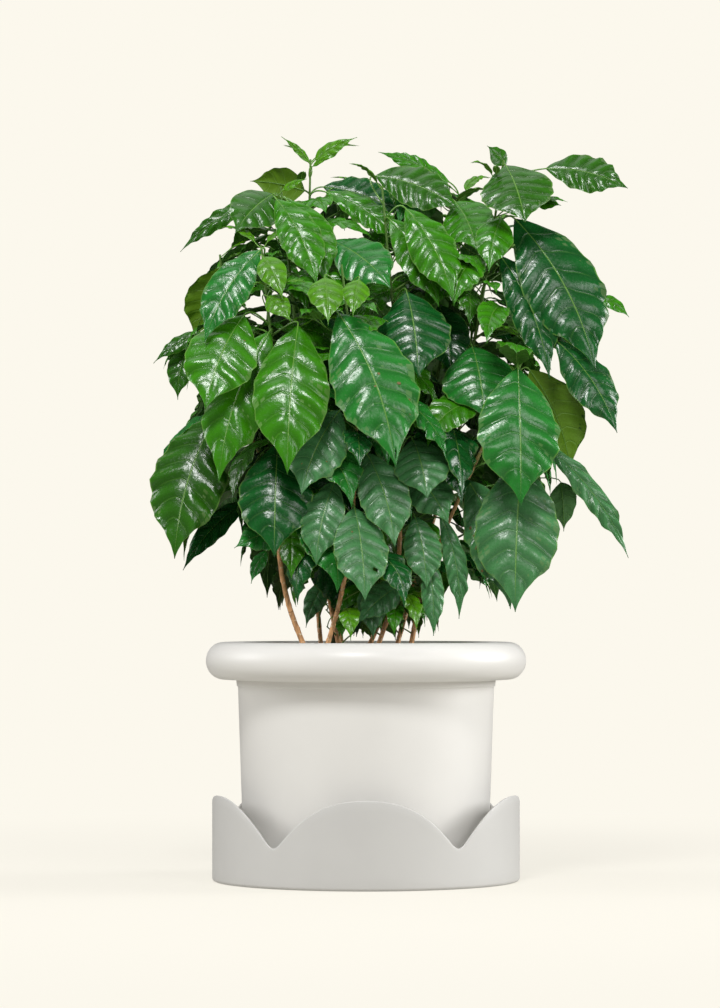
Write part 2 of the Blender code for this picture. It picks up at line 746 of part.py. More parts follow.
def keeps_outline(leaf):
    """True where the leaf stays inside the crown's outline as the photo shows it."""
    for share, (spot, _, side, _) in zip(TESTED_SHARES, leaf.frames(TESTED_SHARES)):
        half = half_width(share) * leaf.width / 2
        for end in (spot - side * half, spot + side * half):
            near = PHOTO_DISTANCE / (PHOTO_DISTANCE + end.y)
            if not inside_outline(end.x * near, PHOTO_EYE_Z + (end.z - PHOTO_EYE_Z) * near):
                return False
    return True


def seat_root(mass, leaf, axis):
    """Draws the root back along its stem or twig, no two roots of a mass at one spot."""
    spread = (len(mass.leaves) * ROOT_TURN) % 1.0
    leaf.root = leaf.root - axis * (ROOT_SETBACK + spread * ROOT_SPREAD)


def leading_leaf(mass, row):
    _, bx, bz, tx, tz, forward, stand, width, tone = row
    nearest = min(mass.path, key=lambda p: abs(p.z - bz))
    base = Vector((bx, nearest.y - stand, bz))
    chord = Vector((tx, base.y - forward, tz)) - base
    root, axis = mass.root_for(base, ROOT_LIFT)
    length = chord.length * LEADING_ARC
    heading = math.atan2(chord.y, chord.x)
    pitch = math.asin(chord.z / chord.length)
    bend = math.radians(HANGING_BEND if chord.z < 0 else RISING_BEND)
    start, end = pitch + bend / 2, pitch - bend / 2
    end = max(end, math.radians(STEEPEST))
    width *= LEADING_WIDTH
    leaf = Leaf(root, base, heading, start, end, length, width, 0.0, LEADING_FOLD, tone)
    leaf.leading = True
    seat_root(mass, leaf, axis)
    front = 1.0 if tone == "olive" else -1.0
    face_to(leaf, Vector((0.0, front, FACING_LIFT)), LEADING_FACING)
    return leaf


def vary(leaf, step):
    """The leaf re-aimed by the next small step."""
    turn = math.radians(TURNS[step % len(TURNS)])
    lift = math.radians(LIFTS[step // len(TURNS) % len(LIFTS)])
    swing = Leaf(
        leaf.root,
        leaf.root + turn_about(leaf.base - leaf.root, turn),
        leaf.heading + turn,
        leaf.start + lift,
        leaf.end + lift,
        leaf.length,
        leaf.width,
        leaf.roll,
        leaf.fold,
        leaf.tone,
        leaf.drift,
    )
    swing.leading = leaf.leading
    return swing


def turn_about(offset, angle):
    c, s = math.cos(angle), math.sin(angle)
    return Vector((offset.x * c - offset.y * s, offset.x * s + offset.y * c, offset.z))


def place_leaf(crown, mass, leaf, own):
    """Adds the leaf where it fits, re-aimed or made smaller when it has to be."""
    clearance = LEADING_CLEARANCE if leaf.leading else CLEARANCE
    steps = LEADING_TRIES if leaf.leading else range(PLAIN_TRIES)
    for size in LEADING_SCALES if leaf.leading else PLAIN_SCALES:
        for step in steps:
            tried = vary(leaf, step)
            tried.length, tried.width = leaf.length * size, leaf.width * size
            if not outside_pot(tried):
                continue
            if not leaf.leading and (not keeps_outline(tried) or crown.hides_leading(tried)):
                continue
            if crown.fits(tried, mass, own, clearance):
                mass.leaves.append(tried)
                tree = tree_of(leaf_body(tried))
                crown.trees.append((mass.name, tree))
                if leaf.leading:
                    crown.leading_trees.append(tree)
                return True
    return False


def pair_leaf(crown, mass, spot, axis, heading, rank, length_scale=1.0):
    """A leaf of a pair: small and upright near the tip, long and hanging lower down."""
    rng = crown.rng
    grown = min(1.0, (rank + FIRST_RANK) / GROWN_RANK)
    length = mass.leaf_length * (YOUNGEST_SIZE + (1.0 - YOUNGEST_SIZE) * grown)
    length *= rng.uniform(*LENGTH_RANGE) * length_scale
    width = length * rng.uniform(*WIDTH_RANGE) * (YOUNG_WIDTH if rank < 1 else 1.0)
    heading += math.radians(rng.uniform(-HEADING_SWAY, HEADING_SWAY))
    most, least = PITCH_SWAY
    start = YOUNG_PITCH[0] - PITCH_FALL[0] * grown + rng.uniform(-most, most)
    end = YOUNG_PITCH[1] - PITCH_FALL[1] * grown + rng.uniform(-most, least)
    start, end = math.radians(start), math.radians(end)
    reach = STALK_REACH[0] + STALK_REACH[1] * grown
    out = Vector((math.cos(heading), math.sin(heading), STALK_RISE))
    tone = "young" if rank < 1 else "bright" if rank < 3 else rng.choice(("mature", "mature", "dark"))
    fold = rng.uniform(*FOLD_RANGE)
    roll = math.radians(rng.uniform(-ROLL_SWAY, ROLL_SWAY))
    drift = math.radians(rng.uniform(-DRIFT_SWAY, DRIFT_SWAY))
    base = spot + out * reach
    leaf = Leaf(spot.copy(), base, heading, start, end, length, width, roll, fold, tone, drift)
    seat_root(mass, leaf, axis)
    outward = Vector((base.x - CROWN_AXIS[0], base.y - CROWN_AXIS[1], 0.0)).normalized()
    face_to(leaf, outward + Vector((0.0, 0.0, OUTWARD_LIFT)), OUTWARD_FACING * grown)
    leaf.roll += roll
    return leaf


def grow_pairs(crown, mass):
    """Opposite leaves up the stem, each pair a quarter turn from the one below."""
    low, high = mass.path[0].z, mass.path[-1].z
    for rank in range(mass.pairs):
        share = 1.0 - (rank / mass.pairs) ** PAIR_CLOSING
        z = low + PAIR_FOOT + (high - low - PAIR_FOOT - PAIR_TOP) * share
        lower = cut_path(mass.path, low, z)
        axis = (lower[-1] - lower[-2]).normalized()
        for side in range(2):
            heading = mass.turn + rank * math.pi / 2 + side * math.pi
            leaf = pair_leaf(crown, mass, lower[-1], axis, heading, rank)
            place_leaf(crown, mass, leaf, [mass.tree])


def grow_twigs(crown, mass):
    """Side twigs in the axils of the lower pairs, each with a pair of leaves at its end."""
    low, high = mass.path[0].z, mass.path[-1].z
    for number in range(1, mass.pairs, TWIG_EVERY):
        share = TWIG_FROM + TWIG_SPAN * number / mass.pairs
        spot = cut_path(mass.path, low, low + (high - low) * share)[-1]
        outward = math.atan2(spot.y, spot.x)
        heading = outward + math.radians(crown.rng.uniform(-TWIG_SWAY, TWIG_SWAY))
        reach = crown.rng.uniform(*TWIG_REACH) * (TWIG_REACH_FALL[0] - TWIG_REACH_FALL[1] * share)
        path = [spot.copy()]
        for rise in TWIG_RISE:
            step = Vector((math.cos(heading), math.sin(heading), rise)) * reach / len(TWIG_RISE)
            path.append(path[-1] + step)
        radii = [TWIG_RADIUS * share for share in TWIG_TAPER]
        tree = tree_of(tube(path, [r + FIT_GAP for r in radii], TWIG_SIDES))
        if any(other is not mass.tree and tree.overlap(other) for _, other in crown.trees):
            continue
        mass.twigs.append((path, radii))
        crown.trees.append((mass.name, tree))
        axis = (path[2] - path[1]).normalized()
        for side in (-1, 1):
            turned = heading + side * math.radians(TWIG_LEAF_SPREAD)
            leaf = pair_leaf(crown, mass, path[2], axis, turned, TWIG_LEAF_RANK, TWIG_LEAF_SHARE)
            place_leaf(crown, mass, leaf, [mass.tree, tree])


def shoot_path(row):
    fx, fy, sx, sy, mx, my, mz, ax, ay, az = row[:10]
    knots = [(fx, fy, STEM_FOOT_Z), (sx, sy, BEND_Z), (mx, my, mz), (ax, ay, az)]
    return smooth_path(knots, PATH_STEPS)


def limb_radii(path, foot, whole):
    """A steady taper up the stem, with a flare at the soil."""
    low, high = whole[0].z, whole[-1].z
    radii = []
    for p in path:
        radius = foot + (APEX_RADIUS - foot) * (p.z - low) / (high - low)
        flare = max(0.0, 1.0 - (p.z - low) / FLARE_HEIGHT)
        radii.append(radius + foot * FLARE_SHARE * flare)
    return radii


def grow():
    """Every stem, bough and mass, from the tables above and the seed."""
    crown = Crown()
    for name, row in SHOOTS.items():
        path = shoot_path(row)
        limb = cut_path(path, STEM_FOOT_Z, MASS_START_Z)
        limb.insert(1, cut_path(path, STEM_FOOT_Z, STEM_FOOT_Z + FLARE_HEIGHT)[-1])
        radii = limb_radii(limb, row[10], path)
        crown.limbs.append(("stem_" + name, limb, radii))
        upper = cut_path(path, MASS_START_Z + FIT_GAP, path[-1].z)
        crown.masses[name] = Mass(name, upper, radii[-1], *row[11:14])
    fx, fy, kx, ky, foot, top = OLD_STEM
    limb = [
        Vector((fx, fy, STEM_FOOT_Z)),
        Vector((fx, fy, STEM_FOOT_Z + FLARE_HEIGHT)),
        Vector(((fx + kx) / 2 + OLD_STEM_BOW, (fy + ky) / 2, (STEM_FOOT_Z + FORK_Z) / 2)),
        Vector((kx, ky, FORK_Z)),
    ]
    crown.limbs.append(("stem_old", limb, [foot * OLD_STEM_FLARE, foot, (foot + top) / 2, top]))
    fork = Vector((kx, ky, FORK_Z + FIT_GAP))
    for side, (name, row) in zip((1, -1), BOUGHS.items()):
        tx, ty, mx, my, mz, ax, ay, az, radius = row[:9]
        start = fork + FORK_WAY * side * (radius + FIT_GAP)
        knots = [start, (tx, ty, BOUGH_BEND_Z), (mx, my, mz), (ax, ay, az)]
        path = smooth_path(knots, PATH_STEPS)
        bough = cut_path(path, start.z, BOUGH_TIP_Z)
        tip_radius = radius * BOUGH_TAPER
        radii = [radius + (tip_radius - radius) * i / (len(bough) - 1) for i in range(len(bough))]
        crown.limbs.append(("bough_" + name, bough, radii))
        upper = cut_path(path, BOUGH_TIP_Z + FIT_GAP, path[-1].z)
        crown.masses[name] = Mass(name, upper, tip_radius, *row[9:12])
    for name, path, radii in crown.limbs:
        crown.trees.append((name, tree_of(tube(path, radii, STEM_SIDES, level=(0, -1)))))
    for mass in crown.masses.values():
        mass.tree = tree_of(mass.stem())
        crown.trees.append((mass.name, mass.tree))
    for row in LEADING:
        mass = crown.masses[row[0]]
        place_leaf(crown, mass, leading_leaf(mass, row), [mass.tree])
    for mass in crown.masses.values():
        grow_pairs(crown, mass)
    for mass in crown.masses.values():
        grow_twigs(crown, mass)
    return crown


# Solids from the growth


def body_object(name, body, collection):
    data = mesh_from(name, body[0], body[1])
    bm = bmesh.new()
    bm.from_mesh(data)
    bmesh.ops.recalc_face_normals(bm, faces=bm.faces)
    bm.to_mesh(data)
    bm.free()
    obj = bpy.data.objects.new(name, data)
    collection.objects.link(obj)
    return obj


def joined(mass):
    """The mass's stem in one union with its twigs and leaves."""
    pieces = bpy.data.collections.new("pieces_" + mass.name)
    bpy.context.scene.collection.children.link(pieces)
    for number, (path, radii) in enumerate(mass.twigs):
        body_object(f"{mass.name}_twig_{number}", tube(path, radii, TWIG_SIDES), pieces)
    for number, leaf in enumerate(mass.leaves):
        body_object(f"{mass.name}_leaf_{number}", leaf_body(leaf), pieces)
    stem = bpy.data.objects.new("union_" + mass.name, mesh_from(mass.name, *mass.stem()))
    bpy.context.scene.collection.objects.link(stem)
    union = stem.modifiers.new("union", "BOOLEAN")
    union.operation = "UNION"
    union.operand_type = "COLLECTION"
    union.collection = pieces
    union.solver = "MANIFOLD"
    bpy.context.view_layer.objects.active = stem
    bpy.ops.object.modifier_apply(modifier=union.name)
    bm = bmesh.new()
    bm.from_mesh(stem.data)
    for piece in list(pieces.objects) + [stem]:
        bpy.data.objects.remove(piece, do_unlink=True)
    bpy.data.collections.remove(pieces)
    return bm


def fault(bm):
    """Welds what lies closer than a micron, then finds a place where the surface isn't closed."""
    bmesh.ops.triangulate(bm, faces=bm.faces)
    bmesh.ops.remove_doubles(bm, verts=bm.verts, dist=WELD * MM)
    bmesh.ops.dissolve_degenerate(bm, edges=bm.edges, dist=WELD * MM)
    bmesh.ops.triangulate(bm, faces=bm.faces)
    for edge in bm.edges:
        if len(edge.link_faces) != 2:
            return edge.verts[0].co / MM
    bm.faces.ensure_lookup_table()
    reached = set()
    stack = [bm.faces[0]]
    while stack:
        face = stack.pop()
        if face in reached:
            continue
        reached.add(face)
        stack += [other for edge in face.edges for other in edge.link_faces]
    loose = [face for face in bm.faces if face not in reached]
    return loose[0].verts[0].co / MM if loose else None


def join_mass(mass):
    """One closed solid for a foliage mass; the leaves at a fault are re-seated and made smaller in turn."""

    def reach(leaf):
        return tree_of(leaf_body(leaf)).find_nearest(spot)[3]

    for attempt in range(JOIN_TRIES):
        bm = joined(mass)
        spot = fault(bm)
        if spot is None:
            data = bpy.data.meshes.new(mass.name)
            bm.to_mesh(data)
            bm.free()
            return make_object("foliage_" + mass.name, data, FOLIAGE_COLOUR)
        bm.free()
        near = sorted(mass.leaves, key=reach)[(attempt + 1) % 2]
        near.length *= JOIN_SHRINK
        near.width *= JOIN_SHRINK
        near.root += (near.root - near.base) * ROOT_NUDGE
    raise ValueError("no clean join for " + mass.name)


def build_limb(name, path, radii):
    body = tube(path, radii, STEM_SIDES, level=(0, -1))
    colour = OLD_BARK_COLOUR if name == "stem_old" else BARK_COLOUR
    return make_object(name, mesh_from(name, *body), colour, smooth=True)


def main():
    clear_scene()
    build_saucer()
    build_pot()
    build_soil()
    crown = grow()
    for name, path, radii in crown.limbs:
        build_limb(name, path, radii)
    total = 0
    for mass in crown.masses.values():
        obj = join_mass(mass)
        total += len(mass.leaves)
        print(mass.name, len(mass.leaves), "leaves", len(obj.data.polygons), "triangles")
    print(total, "leaves in all")


main()
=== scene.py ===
"""Potted coffee plant, finished for rendering, with its pot, saucer, soil, stems and leaves.

The plant grows here by the same seeded rule as its solids do, and goes on to finer twigs and leaves.
Growth is worked out in millimetres and turned into metres where a mesh is made.
"""

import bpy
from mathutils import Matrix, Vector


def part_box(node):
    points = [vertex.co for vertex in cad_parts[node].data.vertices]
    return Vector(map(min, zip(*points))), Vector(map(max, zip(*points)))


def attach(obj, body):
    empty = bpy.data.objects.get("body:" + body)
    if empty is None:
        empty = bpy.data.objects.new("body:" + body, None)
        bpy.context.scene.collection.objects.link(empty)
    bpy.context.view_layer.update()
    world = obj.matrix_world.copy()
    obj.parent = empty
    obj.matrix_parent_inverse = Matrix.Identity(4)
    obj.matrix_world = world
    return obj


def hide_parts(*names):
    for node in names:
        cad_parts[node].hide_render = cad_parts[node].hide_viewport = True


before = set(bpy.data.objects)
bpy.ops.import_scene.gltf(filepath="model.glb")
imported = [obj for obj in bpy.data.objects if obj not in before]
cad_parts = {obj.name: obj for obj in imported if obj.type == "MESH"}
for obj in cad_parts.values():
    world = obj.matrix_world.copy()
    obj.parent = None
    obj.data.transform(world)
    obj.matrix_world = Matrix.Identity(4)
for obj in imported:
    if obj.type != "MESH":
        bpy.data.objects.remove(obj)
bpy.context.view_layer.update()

import copy
import functools
import math
import random

import bmesh
import bpy
import numpy as np
from bpy.props import FloatProperty, FloatVectorProperty, IntProperty, PointerProperty
from mathutils import Matrix, Vector, noise
from mathutils.bvhtree import BVHTree

bl_info = {
    "name": "Potted Coffee Plant",
    "version": (1, 0, 0),
    "blender": (4, 5, 0),
    "location": "3D View > Sidebar > Plant",
    "description": "Builds a potted coffee plant with its pot, saucer, soil, stems, leaves and stage",
    "category": "Object",
}

MM = 0.001
FIT_GAP = 0.3

# Heights shared with the solids, millimetres
SOIL_TOP_Z = 185.0
RIM_TOP_Z = 208.5
POT_TOP_RADIUS = 112.0
POT_WALL = 9.5

# Stems, millimetres
STEM_FOOT_Z = SOIL_TOP_Z + FIT_GAP
MASS_START_Z = 236.0
BEND_Z = 270.0
FORK_Z = 224.0
STEM_SIDES = 6
SHOOT_SIDES = 5
TWIG_SIDES = 3
APEX_RADIUS = 0.9
TWIG_RADIUS = 1.15
FLARE_HEIGHT = 9.0
FLARE_SHARE = 0.35
PATH_STEPS = 3
PATH_LEAST = 2.0
OLD_STEM_BOW = 1.5
OLD_STEM_FLARE = 1.3
BOUGH_TAPER = 0.92

# Blade: its outline as a share of its length, and its sections
OUTLINE_SHIFT = 0.95
OUTLINE_FULLNESS = 0.88
TIP_START = 0.74
TIP_NARROWING = 0.62
MIDRIB_STEPS = 24
LEAF_THICKNESS_SHARE = 0.0115
LEAST_THICKNESS = 0.9
SHORT_LEAF = 60.0
LONG_LEAF = 118.0
SHORT_SHARES = (0.3, 0.7)
MIDDLE_SHARES = (0.2, 0.5, 0.8)
LONG_SHARES = (0.14, 0.38, 0.62, 0.83)
PLAIN_SHARES = (0.24, 0.64)
TESTED_SHARES = (0.3, 0.6, 1.0)
HIDING_SHARES = (0.3, 0.6, 0.95)
HIDING_OFFSETS = (-0.8, 0.0, 0.8)

# Stalk, millimetres
STALK_BEND = 12.0
STALK_BEND_SHARE = 0.55
LONG_STALK = 22.0
STALK_SIZE = (0.45, 0.006, 1.1)
ROOT_SPREAD = 1.5
ROOT_SETBACK = 0.7
ROOT_SIZE = 0.7
ROOT_TURN = 0.618
ROOT_LIFT = 4.0
ROOT_FROM_APEX = 1.0
LATE_ROOT_COST = 2.0

# What a leaf keeps clear of, millimetres
CLEARANCE = 1.6
LEADING_CLEARANCE = 0.4
BLADE_FROM = 0.06
LEADING_BLADE_FROM = 0.14
ABOVE_SOIL = 6.0
ABOVE_RIM = 6.0
INSIDE_MOUTH = 8.0

# How a leaf is re-aimed or made smaller where it doesn't fit, degrees
TURNS = (0, 8, -8, 16, -16, 24, -24, 34, -34)
LIFTS = (0, 7, -7, 14)
PLAIN_TRIES = 36
LEADING_TRIES = (0, 1, 2, 3, 4, 9, 10, 11, 12, 13, 18, 19, 20, 21, 22)
PLAIN_SCALES = (1.0, 0.86, 0.72, 0.58)
LEADING_SCALES = (1.0, 0.93, 0.86)

# Leading leaves: width as drawn, arc over chord, bend of hanging and of rising ones
LEADING_WIDTH = 1.1
LEADING_ARC = 1.04
HANGING_BEND = 34
RISING_BEND = 22
STEEPEST = -98
LEADING_FOLD = -0.12
LEADING_FACING = 0.85
FACING_LIFT = 0.25

# Paired leaves: how size, pitch and reach change from the youngest pair down
YOUNGEST_SIZE = 0.22
GROWN_RANK = 3.2
FIRST_RANK = 0.6
LENGTH_RANGE = (0.86, 1.1)
WIDTH_RANGE = (0.38, 0.46)
YOUNG_WIDTH = 0.8
HEADING_SWAY = 14
YOUNG_PITCH = (62, 12)
PITCH_FALL = (62, 108)
PITCH_SWAY = (10, 6)
STALK_REACH = (5.0, 6.0)
STALK_RISE = 0.75
FOLD_RANGE = (-0.2, 0.12)
ROLL_SWAY = 12
DRIFT_SWAY = 18
OUTWARD_LIFT = 0.7
OUTWARD_FACING = 0.6
CROWN_AXIS = (10.0, 20.0)
PAIR_CLOSING = 0.9
PAIR_FOOT = 12.0
PAIR_TOP = 2.0

# Side twigs
TWIG_EVERY = 2
TWIG_FROM = 0.1
TWIG_SPAN = 0.72
TWIG_SWAY = 75
TWIG_REACH = (34, 58)
TWIG_REACH_FALL = (1.1, 0.4)
TWIG_RISE = (0.8, 0.25)
TWIG_TAPER = (1.0, 0.85, 0.6)
TWIG_LEAF_SHARE = 0.8
TWIG_LEAF_RANK = 2.0
TWIG_LEAF_SPREAD = 40.0

SEED = 4128

# Each shoot: foot x, y; x, y at the top of the bare stem; x, y, z half way; apex x, y, z;
# radius at the foot; turn of its first pair of leaves; number of pairs; length of its largest leaves
SHOOTS = {
    "left_front": (-46, -24, -74, -34, -77, -56, 415, -90, -62, 550, 2.5, 20, 9, 112),
    "left_tall": (-19, 4, -36, 4, -56, -14, 435, -74, -28, 604, 2.5, 65, 10, 112),
    "left_back": (-38, 42, -45, 48, -52, 44, 450, -49, 26, 634, 2.1, 30, 10, 112),
    "left_side": (-20, 38, -34, 68, -112, 20, 412, -128, 4, 548, 2.2, 10, 9, 112),
    "centre_front": (-40, -32, -17, -46, -8, -62, 402, -21, -76, 532, 2.2, 55, 8, 115),
    "centre_tall": (3, -17, 28, -20, 28, -20, 432, 14, -12, 606, 2.2, 25, 10, 112),
    "right_tall": (-6, 30, 30, 28, 88, 0, 440, 120, -20, 628, 2.2, 70, 10, 115),
    "right_side": (36, -6, 54, -2, 108, -24, 392, 150, -38, 484, 2.4, 35, 7, 118),
    "back_right": (22, 52, 46, 78, 90, 108, 425, 98, 112, 578, 2.2, 15, 9, 115),
    "back_left": (-26, 58, -30, 88, -88, 116, 420, -84, 112, 572, 2.2, 50, 9, 115),
}

# The old stem: foot x, y; fork x, y; radius at the foot and at the fork
OLD_STEM = (-30, 14, -27, 22, 5.2, 4.0)

# Its two boughs: x, y at the bough's tip; x, y, z half way; apex x, y, z; radius; turn; pairs;
# leaf length
BOUGH_TIP_Z = 262.0
BOUGH_BEND_Z = 300.0
FORK_WAY = Vector((0.7, -0.7, 0.0))
BOUGHS = {
    "inner_right": (16, 36, 66, 38, 455, 84, 24, 604, 1.9, 40, 8, 112),
    "back_middle": (-20, 68, 4, 106, 450, 4, 116, 612, 1.9, 5, 9, 115),
}

# Leading leaves, read off the photo: shoot, blade base x and z, tip x and z, how far the tip
# comes forward of the base, how far the base stands forward of its stem, width, tone
LEADING = [
    (shoot, *map(int, numbers), tone)
    for shoot, *numbers, tone in map(str.split, """\
centre_front -24 490 24 360 38 16 66 mature
left_front -58 480 -66 354 44 22 59 bright
left_front -104 489 -135 408 36 16 56 bright
left_front -82 476 -124 348 30 10 50 bright
left_front -90 545 -136 466 24 12 35 mature
left_side -116 538 -151 478 -22 -6 40 olive
left_side -130 408 -165 284 30 22 60 mature
left_side -102 336 -160 273 24 6 20 dark
left_back -84 603 -162 554 6 -4 16 mature
left_side -142 480 -185 453 10 2 14 mature
left_side -158 466 -165 422 8 -6 22 mature
left_back -45 633 -9 652 4 2 16 young
left_back -50 631 -74 653 2 0 8 young
left_back -47 627 -29 637 8 6 6 young
left_back -54 607 -101 616 -6 -8 32 olive
left_tall -80 597 -112 560 28 6 42 mature
left_tall -78 592 -43 516 30 16 34 bright
left_tall -69 592 -35 519 20 8 38 bright
left_tall -72 600 -52 609 4 8 8 young
centre_tall -30 556 20 513 34 22 42 mature
left_front -88 538 -71 500 16 22 26 young
left_front -84 504 -64 481 14 28 22 young
centre_front -35 520 -32 478 22 16 33 young
centre_front -6 518 -11 485 18 18 24 young
right_tall 121 622 136 570 34 12 58 mature
right_tall 122 624 106 640 4 -6 16 mature
right_tall 156 620 225 602 12 4 34 bright
right_tall 148 590 169 588 6 4 12 bright
inner_right 74 612 13 637 8 10 15 bright
centre_tall 8 616 79 586 14 -8 38 mature
left_back -38 610 30 584 10 -4 32 dark
left_back -36 604 32 556 18 12 24 bright
centre_tall 34 585 74 504 30 20 38 bright
centre_tall 20 577 62 500 22 8 34 bright
inner_right 85 594 111 549 26 24 42 bright
right_tall 117 577 106 528 20 18 30 bright
right_tall 129 577 196 446 30 8 64 dark
right_tall 116 545 157 438 30 10 34 dark
centre_tall 35 512 45 437 34 24 58 dark
inner_right 70 505 88 442 26 20 36 dark
right_tall 92 466 102 402 30 26 60 mature
right_side 119 444 115 328 20 36 66 mature
right_side 135 367 128 238 34 20 66 mature
right_side 88 350 124 240 16 6 48 dark
right_side 142 445 178 361 -18 -8 46 olive
right_side 162 470 212 391 16 8 38 dark
right_side 152 382 225 284 14 2 20 mature
right_side 170 348 172 306 6 -6 24 olive
right_side 204 508 228 491 4 -2 12 bright
centre_front -22 408 -54 336 30 10 46 mature
left_front -76 380 -78 284 30 8 58 dark
centre_front -26 348 -42 276 22 10 34 mature
centre_front -16 325 -14 246 26 22 44 mature
centre_front 0 372 24 292 26 6 40 mature
centre_tall 40 384 52 333 26 34 44 mature
centre_tall 30 364 70 312 22 16 38 mature
left_front -72 304 -112 290 16 10 26 mature
left_front -86 288 -99 260 8 -2 12 mature
centre_tall 42 318 52 256 20 18 30 dark
centre_tall 64 320 80 231 10 8 18 dark
centre_tall 54 286 58 216 14 22 18 dark
centre_tall 38 262 -6 226 12 26 26 mature
centre_tall 4 262 6 212 12 14 24 bright
left_tall -34 262 -52 222 8 4 18 bright""".splitlines())
]

# The crown's outline seen from the photo's place, x and z at the pot's axis: only leading leaves
# may cross it, so that the sky round the crown and beside its lower right leaves stays open
PHOTO_DISTANCE = 3325.0
PHOTO_EYE_Z = 240.0
CROWN_OUTLINE = (
    (-82, 660), (-32, 663), (-4, 658), (-2, 639), (16, 646), (56, 639), (84, 620), (100, 642),
    (135, 632), (170, 640), (205, 632), (228, 611), (226, 595), (180, 584), (180, 564),
    (205, 541), (212, 514), (233, 502), (233, 486), (208, 485), (203, 462), (219, 424),
    (219, 392), (200, 380), (200, 359), (186, 345), (205, 322), (228, 296), (228, 280),
    (210, 292), (191, 315), (180, 303), (172, 271), (147, 242), (122, 234), (98, 254),
    (82, 284), (77, 330), (70, 330), (72, 298), (82, 234), (66, 226), (61, 205), (-61, 205),
    (-66, 228), (-86, 242), (-102, 259), (-114, 278), (-133, 280), (-161, 270), (-168, 285),
    (-184, 315), (-187, 350), (-166, 392), (-156, 416), (-172, 422), (-178, 450), (-189, 457),
    (-184, 474), (-159, 481), (-159, 516), (-142, 546), (-117, 551), (-117, 560), (-142, 567),
    (-164, 553), (-158, 576), (-138, 604), (-102, 628), (-65, 630),
)

# The growth rule


def smooth_path(knots, steps):
    """Points on a smooth curve through the knots."""
    knots = [Vector(k) for k in knots]
    ends = [2 * knots[0] - knots[1]] + knots + [2 * knots[-1] - knots[-2]]
    points = []
    for a, b, c, d in zip(ends, ends[1:], ends[2:], ends[3:]):
        bend, twist = 2 * a - 5 * b + 4 * c - d, 3 * b - a - 3 * c + d
        for t in (step / steps for step in range(steps)):
            points.append(0.5 * (2 * b + (c - a) * t + bend * t**2 + twist * t**3))
    return points + [knots[-1].copy()]


def cut_path(path, low, high):
    """The stretch of a rising path between two heights, with a point at each cut."""

    def at(z):
        for a, b in zip(path, path[1:]):
            if a.z <= z <= b.z:
                return a.lerp(b, (z - a.z) / (b.z - a.z))
        return path[-1].copy() if z > path[-1].z else path[0].copy()

    inner = [p for p in path if low + PATH_LEAST < p.z < high - PATH_LEAST]
    return [at(low)] + inner + [at(high)]


def height_share(point, path):
    return (point.z - path[0].z) / (path[-1].z - path[0].z)


def half_width(share):
    """Half the blade's width over its greatest half width: an ellipse drawn out to a drip tip."""
    if not 0 < share < 1:
        return 0.0
    body = math.sin(math.pi * share**OUTLINE_SHIFT) ** OUTLINE_FULLNESS
    return body * (1.0 - TIP_NARROWING * max(0.0, (share - TIP_START) / (1.0 - TIP_START)))


class Leaf:
    """One leaf: where its stalk roots, how its midrib runs, and its width."""

    def __init__(self, root, base, heading, start, end, length, width, roll, fold, tone, drift=0.0):
        self.root, self.base = root, base
        self.heading, self.start, self.end = heading, start, end
        self.length, self.width, self.roll, self.fold = length, width, roll, fold
        self.tone, self.drift = tone, drift
        self.leading = False

    def frames(self, shares):
        """(place, along, side, up) on the midrib at each share of its length."""
        place = self.base.copy()
        places = [place.copy()]
        for i in range(MIDRIB_STEPS):
            along = self.along((i + 0.5) / MIDRIB_STEPS)
            place = place + along * (self.length / MIDRIB_STEPS)
            places.append(place.copy())
        found = []
        for share in shares:
            step = min(int(share * MIDRIB_STEPS), MIDRIB_STEPS - 1)
            spot = places[step].lerp(places[step + 1], share * MIDRIB_STEPS - step)
            along = self.along(share)
            heading = self.heading + self.drift * share
            side = Vector((-math.sin(heading), math.cos(heading), 0.0))
            up = along.cross(side).normalized()
            c, s = math.cos(self.roll), math.sin(self.roll)
            found.append((spot, along, side * c + up * s, up * c - side * s))
        return found

    def along(self, share):
        pitch = self.start + (self.end - self.start) * share
        heading = self.heading + self.drift * share
        flat = math.cos(pitch)
        return Vector((flat * math.cos(heading), flat * math.sin(heading), math.sin(pitch)))

    def tip(self):
        return self.frames([1.0])[0][0]

    def ends(self, offsets=(-1.0, 1.0), shares=TESTED_SHARES):
        """Places on the blade at these shares of its length and of its half width."""
        for share, (spot, _, side, _) in zip(shares, self.frames(shares)):
            half = half_width(share) * self.width / 2
            for offset in offsets:
                yield spot + side * (half * offset)


def blade_rings(leaf, shares, swell=0.0):
    """Four-point sections of the blade: left edge, top, right edge, underside."""
    thick = max(leaf.length * LEAF_THICKNESS_SHARE, LEAST_THICKNESS) / 2 + swell
    rings = []
    for share, (spot, _, side, up) in zip(shares, leaf.frames(shares)):
        half = half_width(share) * leaf.width / 2 + swell
        edge, rise, lift = side * half, up * (half * leaf.fold), up * thick
        rings.append((spot - edge + rise, spot + lift, spot + edge + rise, spot - lift))
    return rings


def leaf_shares(length):
    """Where the blade's sections stand: more of them on a longer leaf."""
    if length > LONG_LEAF:
        return LONG_SHARES
    return MIDDLE_SHARES if length > SHORT_LEAF else SHORT_SHARES


def stalk_bend(leaf):
    """The control point that brings the stalk into line with the blade where they meet."""
    along = leaf.along(0.0)
    return leaf.base - along * min(STALK_BEND_SHARE * (leaf.base - leaf.root).length, STALK_BEND)


